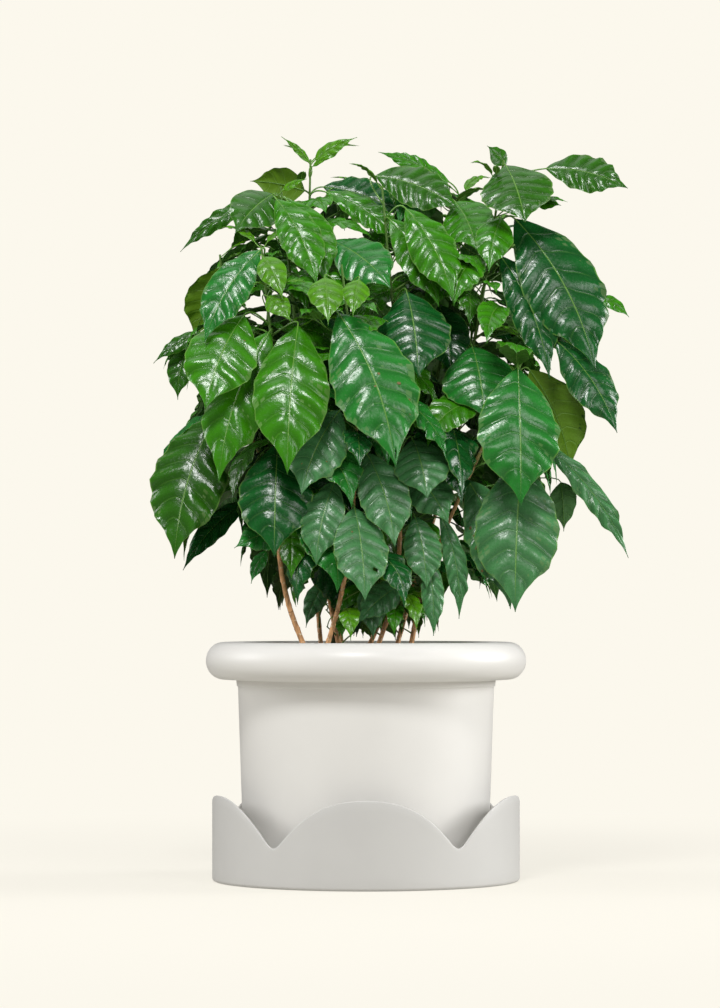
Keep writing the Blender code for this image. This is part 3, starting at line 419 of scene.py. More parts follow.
def stalk_rings(leaf, root_size, base_size):
    """Square sections of the leaf's stalk, from inside its twig to the blade."""
    _, along, side, up = leaf.frames([0.0])[0]
    control = stalk_bend(leaf)
    stops = [(leaf.base, along, base_size)]
    if (leaf.base - leaf.root).length > LONG_STALK:
        middle = leaf.root * 0.25 + control * 0.5 + leaf.base * 0.25
        stops.append((middle, leaf.base - leaf.root, (base_size + root_size) / 2))
    stops.append((leaf.root, control - leaf.root, root_size))
    rings = []
    before = along
    for spot, way, size in stops:
        way = way.normalized()
        turn = before.rotation_difference(way)
        side, up, before = turn @ side, turn @ up, way
        rings.append((spot - side * size, spot + up * size, spot + side * size, spot - up * size))
    return rings[::-1]


def skin(rings, tip=None):
    """Triangles over a row of rings, closed at the foot and at the tip.

    The diagonals turn about from one side to the next, so that a blade's upper and under
    faces are cut alike and never pass through each other where the blade twists.
    """
    points = [p for ring in rings for p in ring]
    size = len(rings[0])
    faces = []
    for i in range(len(rings) - 1):
        for k in range(size):
            a, b = i * size + k, i * size + (k + 1) % size
            if k % 2:
                faces += [(a, b, a + size), (b, b + size, a + size)]
            else:
                faces += [(a, b, b + size), (a, b + size, a + size)]
    faces += [(0, k + 1, k) for k in range(1, size - 1)]
    last = (len(rings) - 1) * size
    if tip is None:
        faces += [(last, last + k, last + k + 1) for k in range(1, size - 1)]
    else:
        points.append(tip)
        faces += [(last + k, last + (k + 1) % size, len(points) - 1) for k in range(size)]
    return points, faces


def face_to(leaf, way, share):
    """Rolls the leaf so that its upper side turns this share of the way to a direction."""
    leaf.roll = 0.0
    _, along, side, up = leaf.frames([0.5])[0]
    wanted = way - along * way.dot(along)
    if wanted.length > 0.05:
        leaf.roll = share * math.atan2(-wanted.dot(side), wanted.dot(up))


def leaf_body(leaf, swell=0.0):
    """A leaf as one closed solid; only a leading leaf has a section where stalk and blade meet."""
    least, share, most = STALK_SIZE
    base_size = min(most, least + leaf.length * share)
    rings = stalk_rings(leaf, ROOT_SIZE + swell, base_size + swell)
    if leaf.leading:
        rings += blade_rings(leaf, leaf_shares(leaf.length), swell)
    else:
        rings = rings[:1] + blade_rings(leaf, PLAIN_SHARES, swell)
    return skin(rings, tip=leaf.tip())


def tube_rings(path, sides, radius_at):
    """Rings of points round a path, each turned as little as it can be from the one before."""
    rings = []
    across = Vector((0.0, 1.0, 0.0))
    angles = [math.tau * k / sides for k in range(sides)]
    for i, spot in enumerate(path):
        ahead = (path[min(i + 1, len(path) - 1)] - path[max(i - 1, 0)]).normalized()
        across = (across - ahead * across.dot(ahead)).normalized()
        over = ahead.cross(across)
        outward = [across * math.cos(a) + over * math.sin(a) for a in angles]
        rings.append([spot + out * radius_at(i, a) for out, a in zip(outward, angles)])
    return rings


def tube(path, radii, sides, level=()):
    """A tapering round stem along a path; the rings named in level are cut flat."""
    rings = tube_rings(path, sides, lambda i, _: radii[i])
    for i in level:
        for p in rings[i]:
            p.z = path[i].z
    return skin(rings)


def tree_of(body):
    return BVHTree.FromPolygons([tuple(p) for p in body[0]], body[1])


class Mass:
    """One foliage mass: an upper stem, side twigs and leaves."""

    def __init__(self, name, path, low_radius, turn, pairs, leaf_length):
        self.name, self.path = name, path
        self.turn, self.pairs, self.leaf_length = math.radians(turn), pairs, leaf_length
        fall = APEX_RADIUS - low_radius
        self.radii = [low_radius + fall * height_share(p, path) for p in path]
        self.twigs, self.leaves = [], []

    def stem(self):
        return tube(self.path, self.radii, SHOOT_SIDES, level=(0,))

    def root_for(self, base, reach):
        """Where on the stem a stalk to this base would start, and which way the stem runs there."""
        best = None
        for a, b in zip(self.path, self.path[1:]):
            for share in (0.0, 0.25, 0.5, 0.75, 1.0):
                spot = a.lerp(b, share)
                if not self.path[0].z + ROOT_LIFT <= spot.z <= self.path[-1].z - ROOT_FROM_APEX:
                    continue
                cost = (base - spot).length + max(0.0, reach - (base.z - spot.z)) * LATE_ROOT_COST
                if best is None or cost < best[0]:
                    best = (cost, spot, (b - a).normalized())
        return best[1:]


class Crown:
    """All masses and stems, and what a new leaf has to keep clear of."""

    def __init__(self):
        self.masses = {}
        self.limbs, self.trees, self.leading_trees = [], [], []
        self.rng = random.Random(SEED)

    def fits(self, leaf, mass, own, clearance):
        """True where the blade, a little swollen, touches nothing and the leaf no other mass."""
        shares = leaf_shares(leaf.length)
        first = LEADING_BLADE_FROM if leaf.leading else BLADE_FROM
        rings = blade_rings(leaf, (first,) + shares[1:], swell=clearance)
        blade = tree_of(skin(rings, tip=leaf.tip()))
        whole = tree_of(leaf_body(leaf, swell=FIT_GAP))
        for other_mass, other in self.trees:
            if other in own:
                continue
            if blade.overlap(other) or (other_mass != mass.name and whole.overlap(other)):
                return False
        if leaf.leading and leaf.length < SHORT_LEAF:
            return True
        bare = tree_of(skin(blade_rings(leaf, shares, swell=0.0), tip=leaf.tip()))
        return not bare.overlap(own[0])

    def hides_leading(self, leaf):
        """True where this leaf would hang in front of a leading leaf."""
        back = Vector((0.0, 1.0, 0.0))
        return any(
            tree.ray_cast(start, back)[0] is not None
            for start in leaf.ends(HIDING_OFFSETS, HIDING_SHARES)
            for tree in self.leading_trees
        )


def outside_pot(leaf):
    """True where the leaf stays above the soil and off the pot's rim."""
    mouth = POT_TOP_RADIUS - POT_WALL - INSIDE_MOUTH
    return not any(
        end.z < SOIL_TOP_Z + ABOVE_SOIL
        or (math.hypot(end.x, end.y) > mouth and end.z < RIM_TOP_Z + ABOVE_RIM)
        for end in leaf.ends()
    )


def inside_outline(x, z):
    inside = False
    for (ax, az), (bx, bz) in zip(CROWN_OUTLINE, CROWN_OUTLINE[1:] + CROWN_OUTLINE[:1]):
        if (az > z) != (bz > z) and x < ax + (bx - ax) * (z - az) / (bz - az):
            inside = not inside
    return inside


def keeps_outline(leaf):
    """True where the leaf stays inside the crown's outline as the photo shows it."""
    for end in leaf.ends():
        near = PHOTO_DISTANCE / (PHOTO_DISTANCE + end.y)
        if not inside_outline(end.x * near, PHOTO_EYE_Z + (end.z - PHOTO_EYE_Z) * near):
            return False
    return True


def seat_root(mass, leaf, axis):
    """Draws the root back along its stem or twig, no two roots of a mass at one spot."""
    spread = (len(mass.leaves) * ROOT_TURN) % 1.0
    leaf.root = leaf.root - axis * (ROOT_SETBACK + spread * ROOT_SPREAD)


def leading_leaf(mass, row):
    _, bx, bz, tx, tz, forward, stand, width, tone = row
    nearest = min(mass.path, key=lambda p: abs(p.z - bz))
    base = Vector((bx, nearest.y - stand, bz))
    chord = Vector((tx, base.y - forward, tz)) - base
    root, axis = mass.root_for(base, ROOT_LIFT)
    length = chord.length * LEADING_ARC
    heading = math.atan2(chord.y, chord.x)
    pitch = math.asin(chord.z / chord.length)
    bend = math.radians(HANGING_BEND if chord.z < 0 else RISING_BEND)
    start, end = pitch + bend / 2, pitch - bend / 2
    end = max(end, math.radians(STEEPEST))
    width *= LEADING_WIDTH
    leaf = Leaf(root, base, heading, start, end, length, width, 0.0, LEADING_FOLD, tone)
    leaf.leading = True
    seat_root(mass, leaf, axis)
    front = 1.0 if tone == "olive" else -1.0
    face_to(leaf, Vector((0.0, front, FACING_LIFT)), LEADING_FACING)
    return leaf


def vary(leaf, step, size):
    """The leaf re-aimed by the next small step, at a share of its size."""
    turn = math.radians(TURNS[step % len(TURNS)])
    lift = math.radians(LIFTS[step // len(TURNS) % len(LIFTS)])
    tried = copy.copy(leaf)
    tried.base = leaf.root + turn_about(leaf.base - leaf.root, turn)
    tried.heading, tried.start, tried.end = leaf.heading + turn, leaf.start + lift, leaf.end + lift
    tried.length, tried.width = leaf.length * size, leaf.width * size
    return tried


def turn_about(offset, angle):
    c, s = math.cos(angle), math.sin(angle)
    return Vector((offset.x * c - offset.y * s, offset.x * s + offset.y * c, offset.z))


def place(crown, mass, leaf, own, sizes, steps, clearance, free):
    """Adds the leaf where it fits, re-aimed or made smaller when it has to be."""
    for size in sizes:
        for step in steps:
            tried = vary(leaf, step, size)
            if outside_pot(tried) and free(tried) and crown.fits(tried, mass, own, clearance):
                mass.leaves.append(tried)
                tree = tree_of(leaf_body(tried))
                crown.trees.append((mass.name, tree))
                if leaf.leading:
                    crown.leading_trees.append(tree)
                return


def place_leading(crown, mass, leaf):
    scales, tries = LEADING_SCALES, LEADING_TRIES
    place(crown, mass, leaf, [mass.tree], scales, tries, LEADING_CLEARANCE, lambda _: True)


def place_plain(crown, mass, leaf, own):
    """Places a leaf that keeps the crown's outline and leaves the leading ones in sight."""

    def free(tried):
        return keeps_outline(tried) and not crown.hides_leading(tried)

    place(crown, mass, leaf, own, PLAIN_SCALES, range(PLAIN_TRIES), CLEARANCE, free)


def pair_leaf(crown, mass, spot, axis, heading, rank, length_scale=1.0):
    """A leaf of a pair: small and upright near the tip, long and hanging lower down."""
    rng = crown.rng
    grown = min(1.0, (rank + FIRST_RANK) / GROWN_RANK)
    length = mass.leaf_length * (YOUNGEST_SIZE + (1.0 - YOUNGEST_SIZE) * grown)
    length *= rng.uniform(*LENGTH_RANGE) * length_scale
    width = length * rng.uniform(*WIDTH_RANGE) * (YOUNG_WIDTH if rank < 1 else 1.0)
    heading += math.radians(rng.uniform(-HEADING_SWAY, HEADING_SWAY))
    most, least = PITCH_SWAY
    start = YOUNG_PITCH[0] - PITCH_FALL[0] * grown + rng.uniform(-most, most)
    end = YOUNG_PITCH[1] - PITCH_FALL[1] * grown + rng.uniform(-most, least)
    start, end = math.radians(start), math.radians(end)
    reach = STALK_REACH[0] + STALK_REACH[1] * grown
    out = Vector((math.cos(heading), math.sin(heading), STALK_RISE))
    tone = "young" if rank < 1 else "bright" if rank < 3 else rng.choice(("mature", "mature", "dark"))
    fold = rng.uniform(*FOLD_RANGE)
    roll = math.radians(rng.uniform(-ROLL_SWAY, ROLL_SWAY))
    drift = math.radians(rng.uniform(-DRIFT_SWAY, DRIFT_SWAY))
    base = spot + out * reach
    leaf = Leaf(spot.copy(), base, heading, start, end, length, width, roll, fold, tone, drift)
    seat_root(mass, leaf, axis)
    outward = Vector((base.x - CROWN_AXIS[0], base.y - CROWN_AXIS[1], 0.0)).normalized()
    face_to(leaf, outward + Vector((0.0, 0.0, OUTWARD_LIFT)), OUTWARD_FACING * grown)
    leaf.roll += roll
    return leaf


def grow_pairs(crown, mass):
    """Opposite leaves up the stem, each pair a quarter turn from the one below."""
    low, high = mass.path[0].z, mass.path[-1].z
    for rank in range(mass.pairs):
        share = 1.0 - (rank / mass.pairs) ** PAIR_CLOSING
        z = low + PAIR_FOOT + (high - low - PAIR_FOOT - PAIR_TOP) * share
        lower = cut_path(mass.path, low, z)
        axis = (lower[-1] - lower[-2]).normalized()
        for side in range(2):
            heading = mass.turn + rank * math.pi / 2 + side * math.pi
            leaf = pair_leaf(crown, mass, lower[-1], axis, heading, rank)
            place_plain(crown, mass, leaf, [mass.tree])


def grow_twigs(crown, mass):
    """Side twigs in the axils of the lower pairs, each with a pair of leaves at its end."""
    low, high = mass.path[0].z, mass.path[-1].z
    for number in range(1, mass.pairs, TWIG_EVERY):
        share = TWIG_FROM + TWIG_SPAN * number / mass.pairs
        spot = cut_path(mass.path, low, low + (high - low) * share)[-1]
        outward = math.atan2(spot.y, spot.x)
        heading = outward + math.radians(crown.rng.uniform(-TWIG_SWAY, TWIG_SWAY))
        reach = crown.rng.uniform(*TWIG_REACH) * (TWIG_REACH_FALL[0] - TWIG_REACH_FALL[1] * share)
        path = [spot.copy()]
        for rise in TWIG_RISE:
            step = Vector((math.cos(heading), math.sin(heading), rise)) * reach / len(TWIG_RISE)
            path.append(path[-1] + step)
        radii = [TWIG_RADIUS * share for share in TWIG_TAPER]
        tree = tree_of(tube(path, [r + FIT_GAP for r in radii], TWIG_SIDES))
        if any(other is not mass.tree and tree.overlap(other) for _, other in crown.trees):
            continue
        mass.twigs.append((path, radii))
        crown.trees.append((mass.name, tree))
        axis = (path[2] - path[1]).normalized()
        for side in (-1, 1):
            turned = heading + side * math.radians(TWIG_LEAF_SPREAD)
            leaf = pair_leaf(crown, mass, path[2], axis, turned, TWIG_LEAF_RANK, TWIG_LEAF_SHARE)
            place_plain(crown, mass, leaf, [mass.tree, tree])


def shoot_path(row):
    fx, fy, sx, sy, mx, my, mz, ax, ay, az = row[:10]
    knots = [(fx, fy, STEM_FOOT_Z), (sx, sy, BEND_Z), (mx, my, mz), (ax, ay, az)]
    return smooth_path(knots, PATH_STEPS)


def limb_radii(path, foot, whole):
    """A steady taper up the stem, with a flare at the soil."""
    low, high = whole[0].z, whole[-1].z
    radii = []
    for p in path:
        radius = foot + (APEX_RADIUS - foot) * (p.z - low) / (high - low)
        flare = max(0.0, 1.0 - (p.z - low) / FLARE_HEIGHT)
        radii.append(radius + foot * FLARE_SHARE * flare)
    return radii


def grow():
    """Every stem, bough and mass, from the tables above and the seed."""
    crown = Crown()
    for name, row in SHOOTS.items():
        path = shoot_path(row)
        limb = cut_path(path, STEM_FOOT_Z, MASS_START_Z)
        limb.insert(1, cut_path(path, STEM_FOOT_Z, STEM_FOOT_Z + FLARE_HEIGHT)[-1])
        radii = limb_radii(limb, row[10], path)
        crown.limbs.append(("stem_" + name, limb, radii))
        upper = cut_path(path, MASS_START_Z + FIT_GAP, path[-1].z)
        crown.masses[name] = Mass(name, upper, radii[-1], *row[11:14])
    fx, fy, kx, ky, foot, top = OLD_STEM
    limb = [
        Vector((fx, fy, STEM_FOOT_Z)),
        Vector((fx, fy, STEM_FOOT_Z + FLARE_HEIGHT)),
        Vector(((fx + kx) / 2 + OLD_STEM_BOW, (fy + ky) / 2, (STEM_FOOT_Z + FORK_Z) / 2)),
        Vector((kx, ky, FORK_Z)),
    ]
    crown.limbs.append(("stem_old", limb, [foot * OLD_STEM_FLARE, foot, (foot + top) / 2, top]))
    fork = Vector((kx, ky, FORK_Z + FIT_GAP))
    for side, (name, row) in zip((1, -1), BOUGHS.items()):
        tx, ty, mx, my, mz, ax, ay, az, radius = row[:9]
        start = fork + FORK_WAY * side * (radius + FIT_GAP)
        knots = [start, (tx, ty, BOUGH_BEND_Z), (mx, my, mz), (ax, ay, az)]
        path = smooth_path(knots, PATH_STEPS)
        bough = cut_path(path, start.z, BOUGH_TIP_Z)
        tip_radius = radius * BOUGH_TAPER
        radii = [radius + (tip_radius - radius) * i / (len(bough) - 1) for i in range(len(bough))]
        crown.limbs.append(("bough_" + name, bough, radii))
        upper = cut_path(path, BOUGH_TIP_Z + FIT_GAP, path[-1].z)
        crown.masses[name] = Mass(name, upper, tip_radius, *row[9:12])
    for name, path, radii in crown.limbs:
        crown.trees.append((name, tree_of(tube(path, radii, STEM_SIDES, level=(0, -1)))))
    for mass in crown.masses.values():
        mass.tree = tree_of(mass.stem())
        crown.trees.append((mass.name, mass.tree))
    for row in LEADING:
        mass = crown.masses[row[0]]
        place_leading(crown, mass, leading_leaf(mass, row))
    for grow_more in (grow_pairs, grow_twigs):
        for mass in crown.masses.values():
            grow_more(crown, mass)
    return crown


# Finer growth, which only the finished plant has

FINE_TWIGS = 18
FINE_TWIG_RADIUS = 0.75
FINE_REACH = (10.0, 34.0)
FINE_SIZES = (0.36, 0.78)
FINE_SCALES = (1.0, 0.75)
FINE_CLEARANCE = 1.0
FINE_TRIES = 14
FINE_RISE = 0.7
FINE_DROOP = 0.12
FINE_TAPER = (1.0, 0.85, 0.7)
FINE_SPAN = (0.05, 0.9)
FINE_SWAY = 20.0
FINE_REACH_FALL = (1.15, 0.6)
FINE_LEAF_SWAY = (-15, 25)
FINE_LEAF_RANK = 4.0
GOLDEN_ANGLE = 137.5
BOX_MARGIN = 2.0

# Where on its stem a small leaf is young or bright, as a share of the stem's height
YOUNG_FROM = 0.9
BRIGHT_FROM = 0.72
BRIGHT_BELOW = 0.08

# The few twigs low down, where a stem leaves the pot
LOW_TWIGS = 5
LOW_TWIG_Z = (200.0, 246.0)
LOW_REACH = (8.0, 26.0)
LOW_SIZES = (0.26, 0.44)
LOW_LEAST_Z = 207.0
LOW_SWAY = 40.0
LOW_START = 4.0

# Places that are thick with leaves from the front: low x, high x, low z, high z, twigs
THICK = (
    (90, 125, 490, 530, 5),
    (88, 112, 470, 500, 4),
    (150, 172, 436, 468, 3),
    (-108, -84, 494, 516, 4),
    (-84, -60, 532, 556, 4),
    (-32, 6, 552, 580, 4),
    (14, 32, 520, 560, 4),
    (30, 76, 568, 588, 4),
    (150, 172, 332, 364, 3),
    (60, 84, 290, 330, 4),
    (30, 76, 226, 300, 10),
    (-20, 56, 209, 232, 9),
    (-124, -106, 296, 318, 3),
)
THICK_TRIES = 30
THICK_DEPTH = (-45.0, 75.0)
THICK_REACH = (6.0, 62.0)
THICK_SHARE = 0.7
THICK_END = 6.0
THICK_AGE = 0.4
THICK_LIFT = 12.0
THICK_SIZES = (0.42, 0.7)

# Gaps between the stems that show sky from the front: low x, high x, low z, high z
SKY = ((-59, -30, 208, 268), (-100, -62, 208, 262))


def open_sky(leaf):
    """True where the leaf leaves the gaps open that show sky between the stems."""
    return not any(
        low_x < end.x < high_x and low_z < end.z < high_z
        for end in leaf.ends((-1.0, 0.0, 1.0))
        for low_x, high_x, low_z, high_z in SKY
    )


def within(leaf, low, high):
    """True where the leaf stays inside the box of its mass."""
    return all(
        least + BOX_MARGIN < value < most - BOX_MARGIN
        for end in leaf.ends()
        for value, least, most in zip(end, low, high)
    )


def place_finer(crown, mass, leaf, own, box):
    """Places a small leaf inside its mass that hides no leading leaf and leaves the sky open."""

    def free(tried):
        inside = within(tried, *box) and keeps_outline(tried) and open_sky(tried)
        return inside and not crown.hides_leading(tried)

    place(crown, mass, leaf, own, FINE_SCALES, range(FINE_TRIES), FINE_CLEARANCE, free)


def fine_leaf(crown, mass, spot, axis, heading, share, scale, rng):
    """A small leaf: young near the top of its mass, hanging lower down."""
    rank = FINE_LEAF_RANK * (1.0 - share)
    leaf = pair_leaf(crown, mass, spot, axis, heading, rank, scale)
    if share > YOUNG_FROM:
        leaf.tone = "young"
    elif share > BRIGHT_FROM or share < BRIGHT_BELOW:
        leaf.tone = rng.choice(("bright", "bright", "young"))
    else:
        leaf.tone = rng.choice(("mature", "mature", "dark", "bright"))
    return leaf


def grow_fine_twig(crown, mass, own, box, spot, heading, reach, share, scales, rng):
    """One fine twig off a stem, with a pair of small leaves at its end."""
    out = Vector((math.cos(heading), math.sin(heading), FINE_RISE))
    path = [spot.copy(), spot + out * reach * 0.5, spot + out * reach]
    path[2].z -= FINE_DROOP * reach
    radii = [FINE_TWIG_RADIUS * size for size in FINE_TAPER]
    tree = tree_of(tube(path, [r + FIT_GAP for r in radii], TWIG_SIDES))
    if any(other not in own and tree.overlap(other) for _, other in crown.trees):
        return
    before = len(mass.leaves)
    axis = (path[2] - path[1]).normalized()
    for side in (-1, 1):
        turned = heading + side * math.radians(TWIG_LEAF_SPREAD + rng.uniform(*FINE_LEAF_SWAY))
        leaf = fine_leaf(crown, mass, path[2], axis, turned, share, rng.uniform(*scales), rng)
        place_finer(crown, mass, leaf, own + [tree], box)
    if len(mass.leaves) > before:
        mass.twigs.append((path, radii))
        crown.trees.append((mass.name, tree))


def own_trees(crown, mass, limb):
    """What a twig of this mass may touch: its upper stem and the limb below."""
    return [mass.tree, next(tree for name, tree in crown.trees if name == limb[0])]


def limbs_by_mass(crown):
    return {limb[0].split("_", 1)[1]: limb for limb in crown.limbs}


def grow_finer(crown, mass, limb, box):
    """Fine twigs all the way up the stem, and a few low down where it leaves the pot."""
    rng = random.Random(mass.name)
    own = own_trees(crown, mass, limb)
    low, high = mass.path[0].z, mass.path[-1].z
    for number in range(FINE_TWIGS):
        share = FINE_SPAN[0] + FINE_SPAN[1] * (number + 0.5) / FINE_TWIGS
        spot = cut_path(mass.path, low, low + (high - low) * share)[-1]
        sway = rng.uniform(-FINE_SWAY, FINE_SWAY)
        heading = mass.turn + math.radians(GOLDEN_ANGLE * number + sway)
        reach = rng.uniform(*FINE_REACH) * (FINE_REACH_FALL[0] - FINE_REACH_FALL[1] * share)
        grow_fine_twig(crown, mass, own, box, spot, heading, reach, share, FINE_SIZES, rng)
    whole = limb[1] + mass.path[1:]
    box = (Vector((box[0].x, box[0].y, LOW_LEAST_Z)), box[1])
    for number in range(LOW_TWIGS):
        least, most = LOW_TWIG_Z
        z = least + (most - least) * (number + rng.random()) / LOW_TWIGS
        spot = cut_path(whole, whole[0].z, max(z, whole[0].z + LOW_START))[-1]
        sway = rng.uniform(-LOW_SWAY, LOW_SWAY)
        heading = mass.turn + math.radians(GOLDEN_ANGLE * number + sway)
        reach = rng.uniform(*LOW_REACH)
        grow_fine_twig(crown, mass, own, box, spot, heading, reach, 0.0, LOW_SIZES, rng)


def nearest_stem(crown, spot):
    """(mass, its limb, place at the spot's height) of the stem nearest to the spot."""
    limbs = limbs_by_mass(crown)
    found = []
    for mass in crown.masses.values():
        path = limbs[mass.name][1] + mass.path[1:]
        z = min(max(spot.z, path[0].z + THICK_END), path[-1].z - THICK_END)
        near = cut_path(path, path[0].z, z)[-1]
        found.append(((near - spot).length, mass.name, near))
    _, name, near = min(found)
    return crown.masses[name], limbs[name], near


def thicken(crown):
    """Twigs that reach into the places that are thick with leaves."""
    rng = random.Random("thick")
    for low_x, high_x, low_z, high_z, most in THICK:
        grown = 0
        for _ in range(THICK_TRIES):
            x, y, z = (rng.uniform(*span) for span in ((low_x, high_x), THICK_DEPTH, (low_z, high_z)))
            target = Vector((x, y, z))
            mass, limb, spot = nearest_stem(crown, target + Vector((0.0, 0.0, THICK_LIFT)))
            way = target - spot
            reach = math.hypot(way.x, way.y)
            if grown == most or not THICK_REACH[0] < reach < THICK_REACH[1]:
                continue
            low, high = node_box("foliage_" + mass.name)
            box = (Vector((low.x, low.y, min(low.z, LOW_LEAST_Z))), high)
            before = len(mass.leaves)
            heading = math.atan2(way.y, way.x)
            own, reach = own_trees(crown, mass, limb), THICK_SHARE * reach
            looks = (reach, THICK_AGE, THICK_SIZES)
            grow_fine_twig(crown, mass, own, box, spot, heading, *looks, rng)
            grown += len(mass.leaves) > before


def node_box(name):
    """Lowest and highest corner of a solid, millimetres."""
    low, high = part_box(name)
    return low / MM, high / MM


@functools.cache
def grown_crown():
    """The whole crown: the rule's own growth, then the finer growth inside each mass."""
    crown = grow()
    limbs = limbs_by_mass(crown)
    for mass in crown.masses.values():
        grow_finer(crown, mass, limbs[mass.name], node_box("foliage_" + mass.name))
    thicken(crown)
    return crown


# Sizes and colours that a user can change


def amount(name, text, value, **more):
    return FloatProperty(name=name, description=text, default=value, min=0.0, **more)


def length(name, text, value):
    return amount(name, text, value, unit="LENGTH", precision=5)


def colour(name, text, value):
    limits = {"min": 0.0, "max": 1.0, "size": 3, "subtype": "COLOR"}
    return FloatVectorProperty(name=name, description=text, default=value, **limits)


class PotSettings(bpy.types.PropertyGroup):
    foot_radius: length("Foot radius", "Radius of the pot's body at its foot", 0.1065)
    top_radius: length("Top radius", "Radius of the pot's body under the rim", 0.112)
    rim_radius: length("Rim radius", "Outer radius of the rolled rim", 0.14)
    wall: length("Wall", "Thickness of the pot's wall", 0.0095)
    steps: IntProperty(name="Steps", description="Facets round the pot", default=160, min=24)
    glaze: colour("Glaze", "Colour of the satin glaze", (0.80, 0.785, 0.75))


class SaucerSettings(bpy.types.PropertyGroup):
    radius: length("Radius", "Outer radius of the saucer", 0.1345)
    sheet: length("Sheet", "Thickness of its sheet", 0.002)
    peak: length("Peak", "Height of each scallop", 0.076)
    valley: length("Valley", "Height between two scallops", 0.034)
    scallops: IntProperty(name="Scallops", description="Scallops round the edge", default=5, min=1)
    paint: colour("Paint", "Colour of the matte paint", (0.59, 0.583, 0.563))


class SoilSettings(bpy.types.PropertyGroup):
    relief: length("Relief", "Height of the soil's lumps", 0.0022)
    crumbs: IntProperty(name="Crumbs", description="Loose crumbs on the soil", default=340, min=0)
    earth: colour("Earth", "Colour of the soil", (0.030, 0.019, 0.012))
    grit: colour("Grit", "Colour of the pale grains in it", (0.52, 0.48, 0.41))


class StemSettings(bpy.types.PropertyGroup):
    ridge: length("Ridge", "Depth of the bark's ridges", 0.00022)
    spacing: length("Node spacing", "Distance between two rings of leaf scars", 0.021)
    bark: colour("Bark", "Colour of the young bark", (0.84, 0.45, 0.20))
    scar: colour("Scars", "Colour of leaf scars and lenticels", (0.88, 0.70, 0.48))
    old_bark: colour("Old bark", "Colour of the old stem", (0.055, 0.045, 0.022))
    moss: colour("Moss", "Colour of the moss on the old stem", (0.035, 0.055, 0.012))
    green: colour("Green wood", "Colour of the green upper stems", (0.09, 0.20, 0.025))


class LeafSettings(bpy.types.PropertyGroup):
    thickness: length("Thickness", "Thickness of a blade", 0.00042)
    ripple: amount("Ripple", "Height of the quilting over the leaf's length", 0.025)
    wave: amount("Wave", "Height of the margin's waves over the leaf's length", 0.021)
    young: colour("Young", "Colour of the youngest leaves", (0.078, 0.265, 0.003))
    bright: colour("Bright", "Colour of fresh leaves", (0.038, 0.215, 0.003))
    mature: colour("Mature", "Colour of grown leaves", (0.017, 0.185, 0.021))
    grown: colour("Grown", "Colour of grown leaves with a warmer green", (0.026, 0.130, 0.005))
    dark: colour("Dark", "Colour of the oldest leaves", (0.006, 0.095, 0.014))
    # A paler, greyer green that paints a broad sheen and extra light on the leading leaves low on the
    # right.
    dull: colour("Dull", "Colour of old leaves with a dull bloom", (0.060, 0.215, 0.068))
    olive: colour("Olive", "Colour of leaves that show their back", (0.045, 0.135, 0.003))
    dry: colour("Dry spots", "Colour of the few dry spots", (0.21, 0.135, 0.045))
    rib: colour("Midrib", "Colour of midrib and stalk", (0.17, 0.36, 0.06))


class StageSettings(bpy.types.PropertyGroup):
    backdrop: colour("Backdrop", "Colour of floor and backdrop", (0.973, 0.939, 0.847))
    key: amount("Key", "Power of the key light, watts", 19.0)
    right: amount("Right", "Power of the right light, watts", 42.0)
    left: amount("Left", "Power of the left light, watts", 21.0)
    top: amount("Top", "Power of the overhead light, watts", 12.0)
    fill: amount("Fill", "Strength of the surrounding light", 0.31)
    front: amount("Front", "Power of the high front light, watts", 38.0)


# Materials and shared patterns

GRAIN_DETAIL = {"Broad": 3.0, "Fine": 6.0}
GLAZE_ROUGH = (0.38, 0.44)
GLAZE_COAT = {"Coat Weight": 0.08, "Coat Roughness": 0.22}
PAINT_ROUGH = (0.44, 0.56)
BARK_ROUGH = 0.62
OLD_BARK_ROUGH = 0.85
DRY_ROUGH = 0.6
BARK_BLUR = 0.05
RIB_EDGE = (0.008, 0.028)
VEIN_EDGE = (0.01, 0.07)
VEIN_FADE = (0.55, 0.97, 1.0, 0.15)
MARGIN_EDGE = (0.95, 1.0)
UNDERSIDE_LIFT = (0.05, 0.075, 0.02)
# Painted backlight: a brighter underside for leaves that show their back, in place of light shining
# through them.
OLIVE_BACKLIGHT_LIFT = (0.075, 0.14, 0.0)
UNDER_ROUGH = 0.25
LEAF_GLOSS = {
    "young": (0.24, 0.34),
    "bright": (0.18, 0.30),
    "mature": (0.18, 0.32),
    "grown": (0.18, 0.30),
    "dark": (0.18, 0.34),
    "dull": (0.20, 0.40),
    "olive": (0.30, 0.44),
}
LEAF_SPECULAR = 0.55


def feed(tree, node, inputs):
    """Links or sets a node's inputs, given by name or number."""
    for name, value in inputs.items():
        if isinstance(value, bpy.types.NodeSocket):
            tree.links.new(value, node.inputs[name])
        else:
            node.inputs[name].default_value = value


def add_node(tree, kind, inputs=None):
    node = tree.nodes.new("ShaderNode" + kind)
    feed(tree, node, inputs or {})
    return node


def maths(tree, operation, *values):
    node = add_node(tree, "Math", dict(enumerate(values)))
    node.operation = operation
    return node.outputs[0]


def ease(tree, value, low, high, to_low=0.0, to_high=1.0):
    """A smooth step between two values."""
    ends = {"From Min": low, "From Max": high, "To Min": to_low, "To Max": to_high}
    node = add_node(tree, "MapRange", {"Value": value, **ends})
    node.interpolation_type = "SMOOTHSTEP"
    return node.outputs["Result"]


def mix_colours(tree, share, first, second):
    node = add_node(tree, "Mix")
    node.data_type = "RGBA"
    places = [i for i, socket in enumerate(node.inputs) if socket.type == "RGBA"]
    for value, place in zip((first, second), places):
        feed(tree, node, {place: value if isinstance(value, bpy.types.NodeSocket) else (*value, 1.0)})
    feed(tree, node, {"Factor": share})
    return next(s for s in node.outputs if s.type == "RGBA")


def tints(tree, share, base, *factors):
    """A colour made darker and lighter by two factors, mixed by a share."""
    return mix_colours(tree, share, *(tuple(min(1.0, c * by) for c in base) for by in factors))


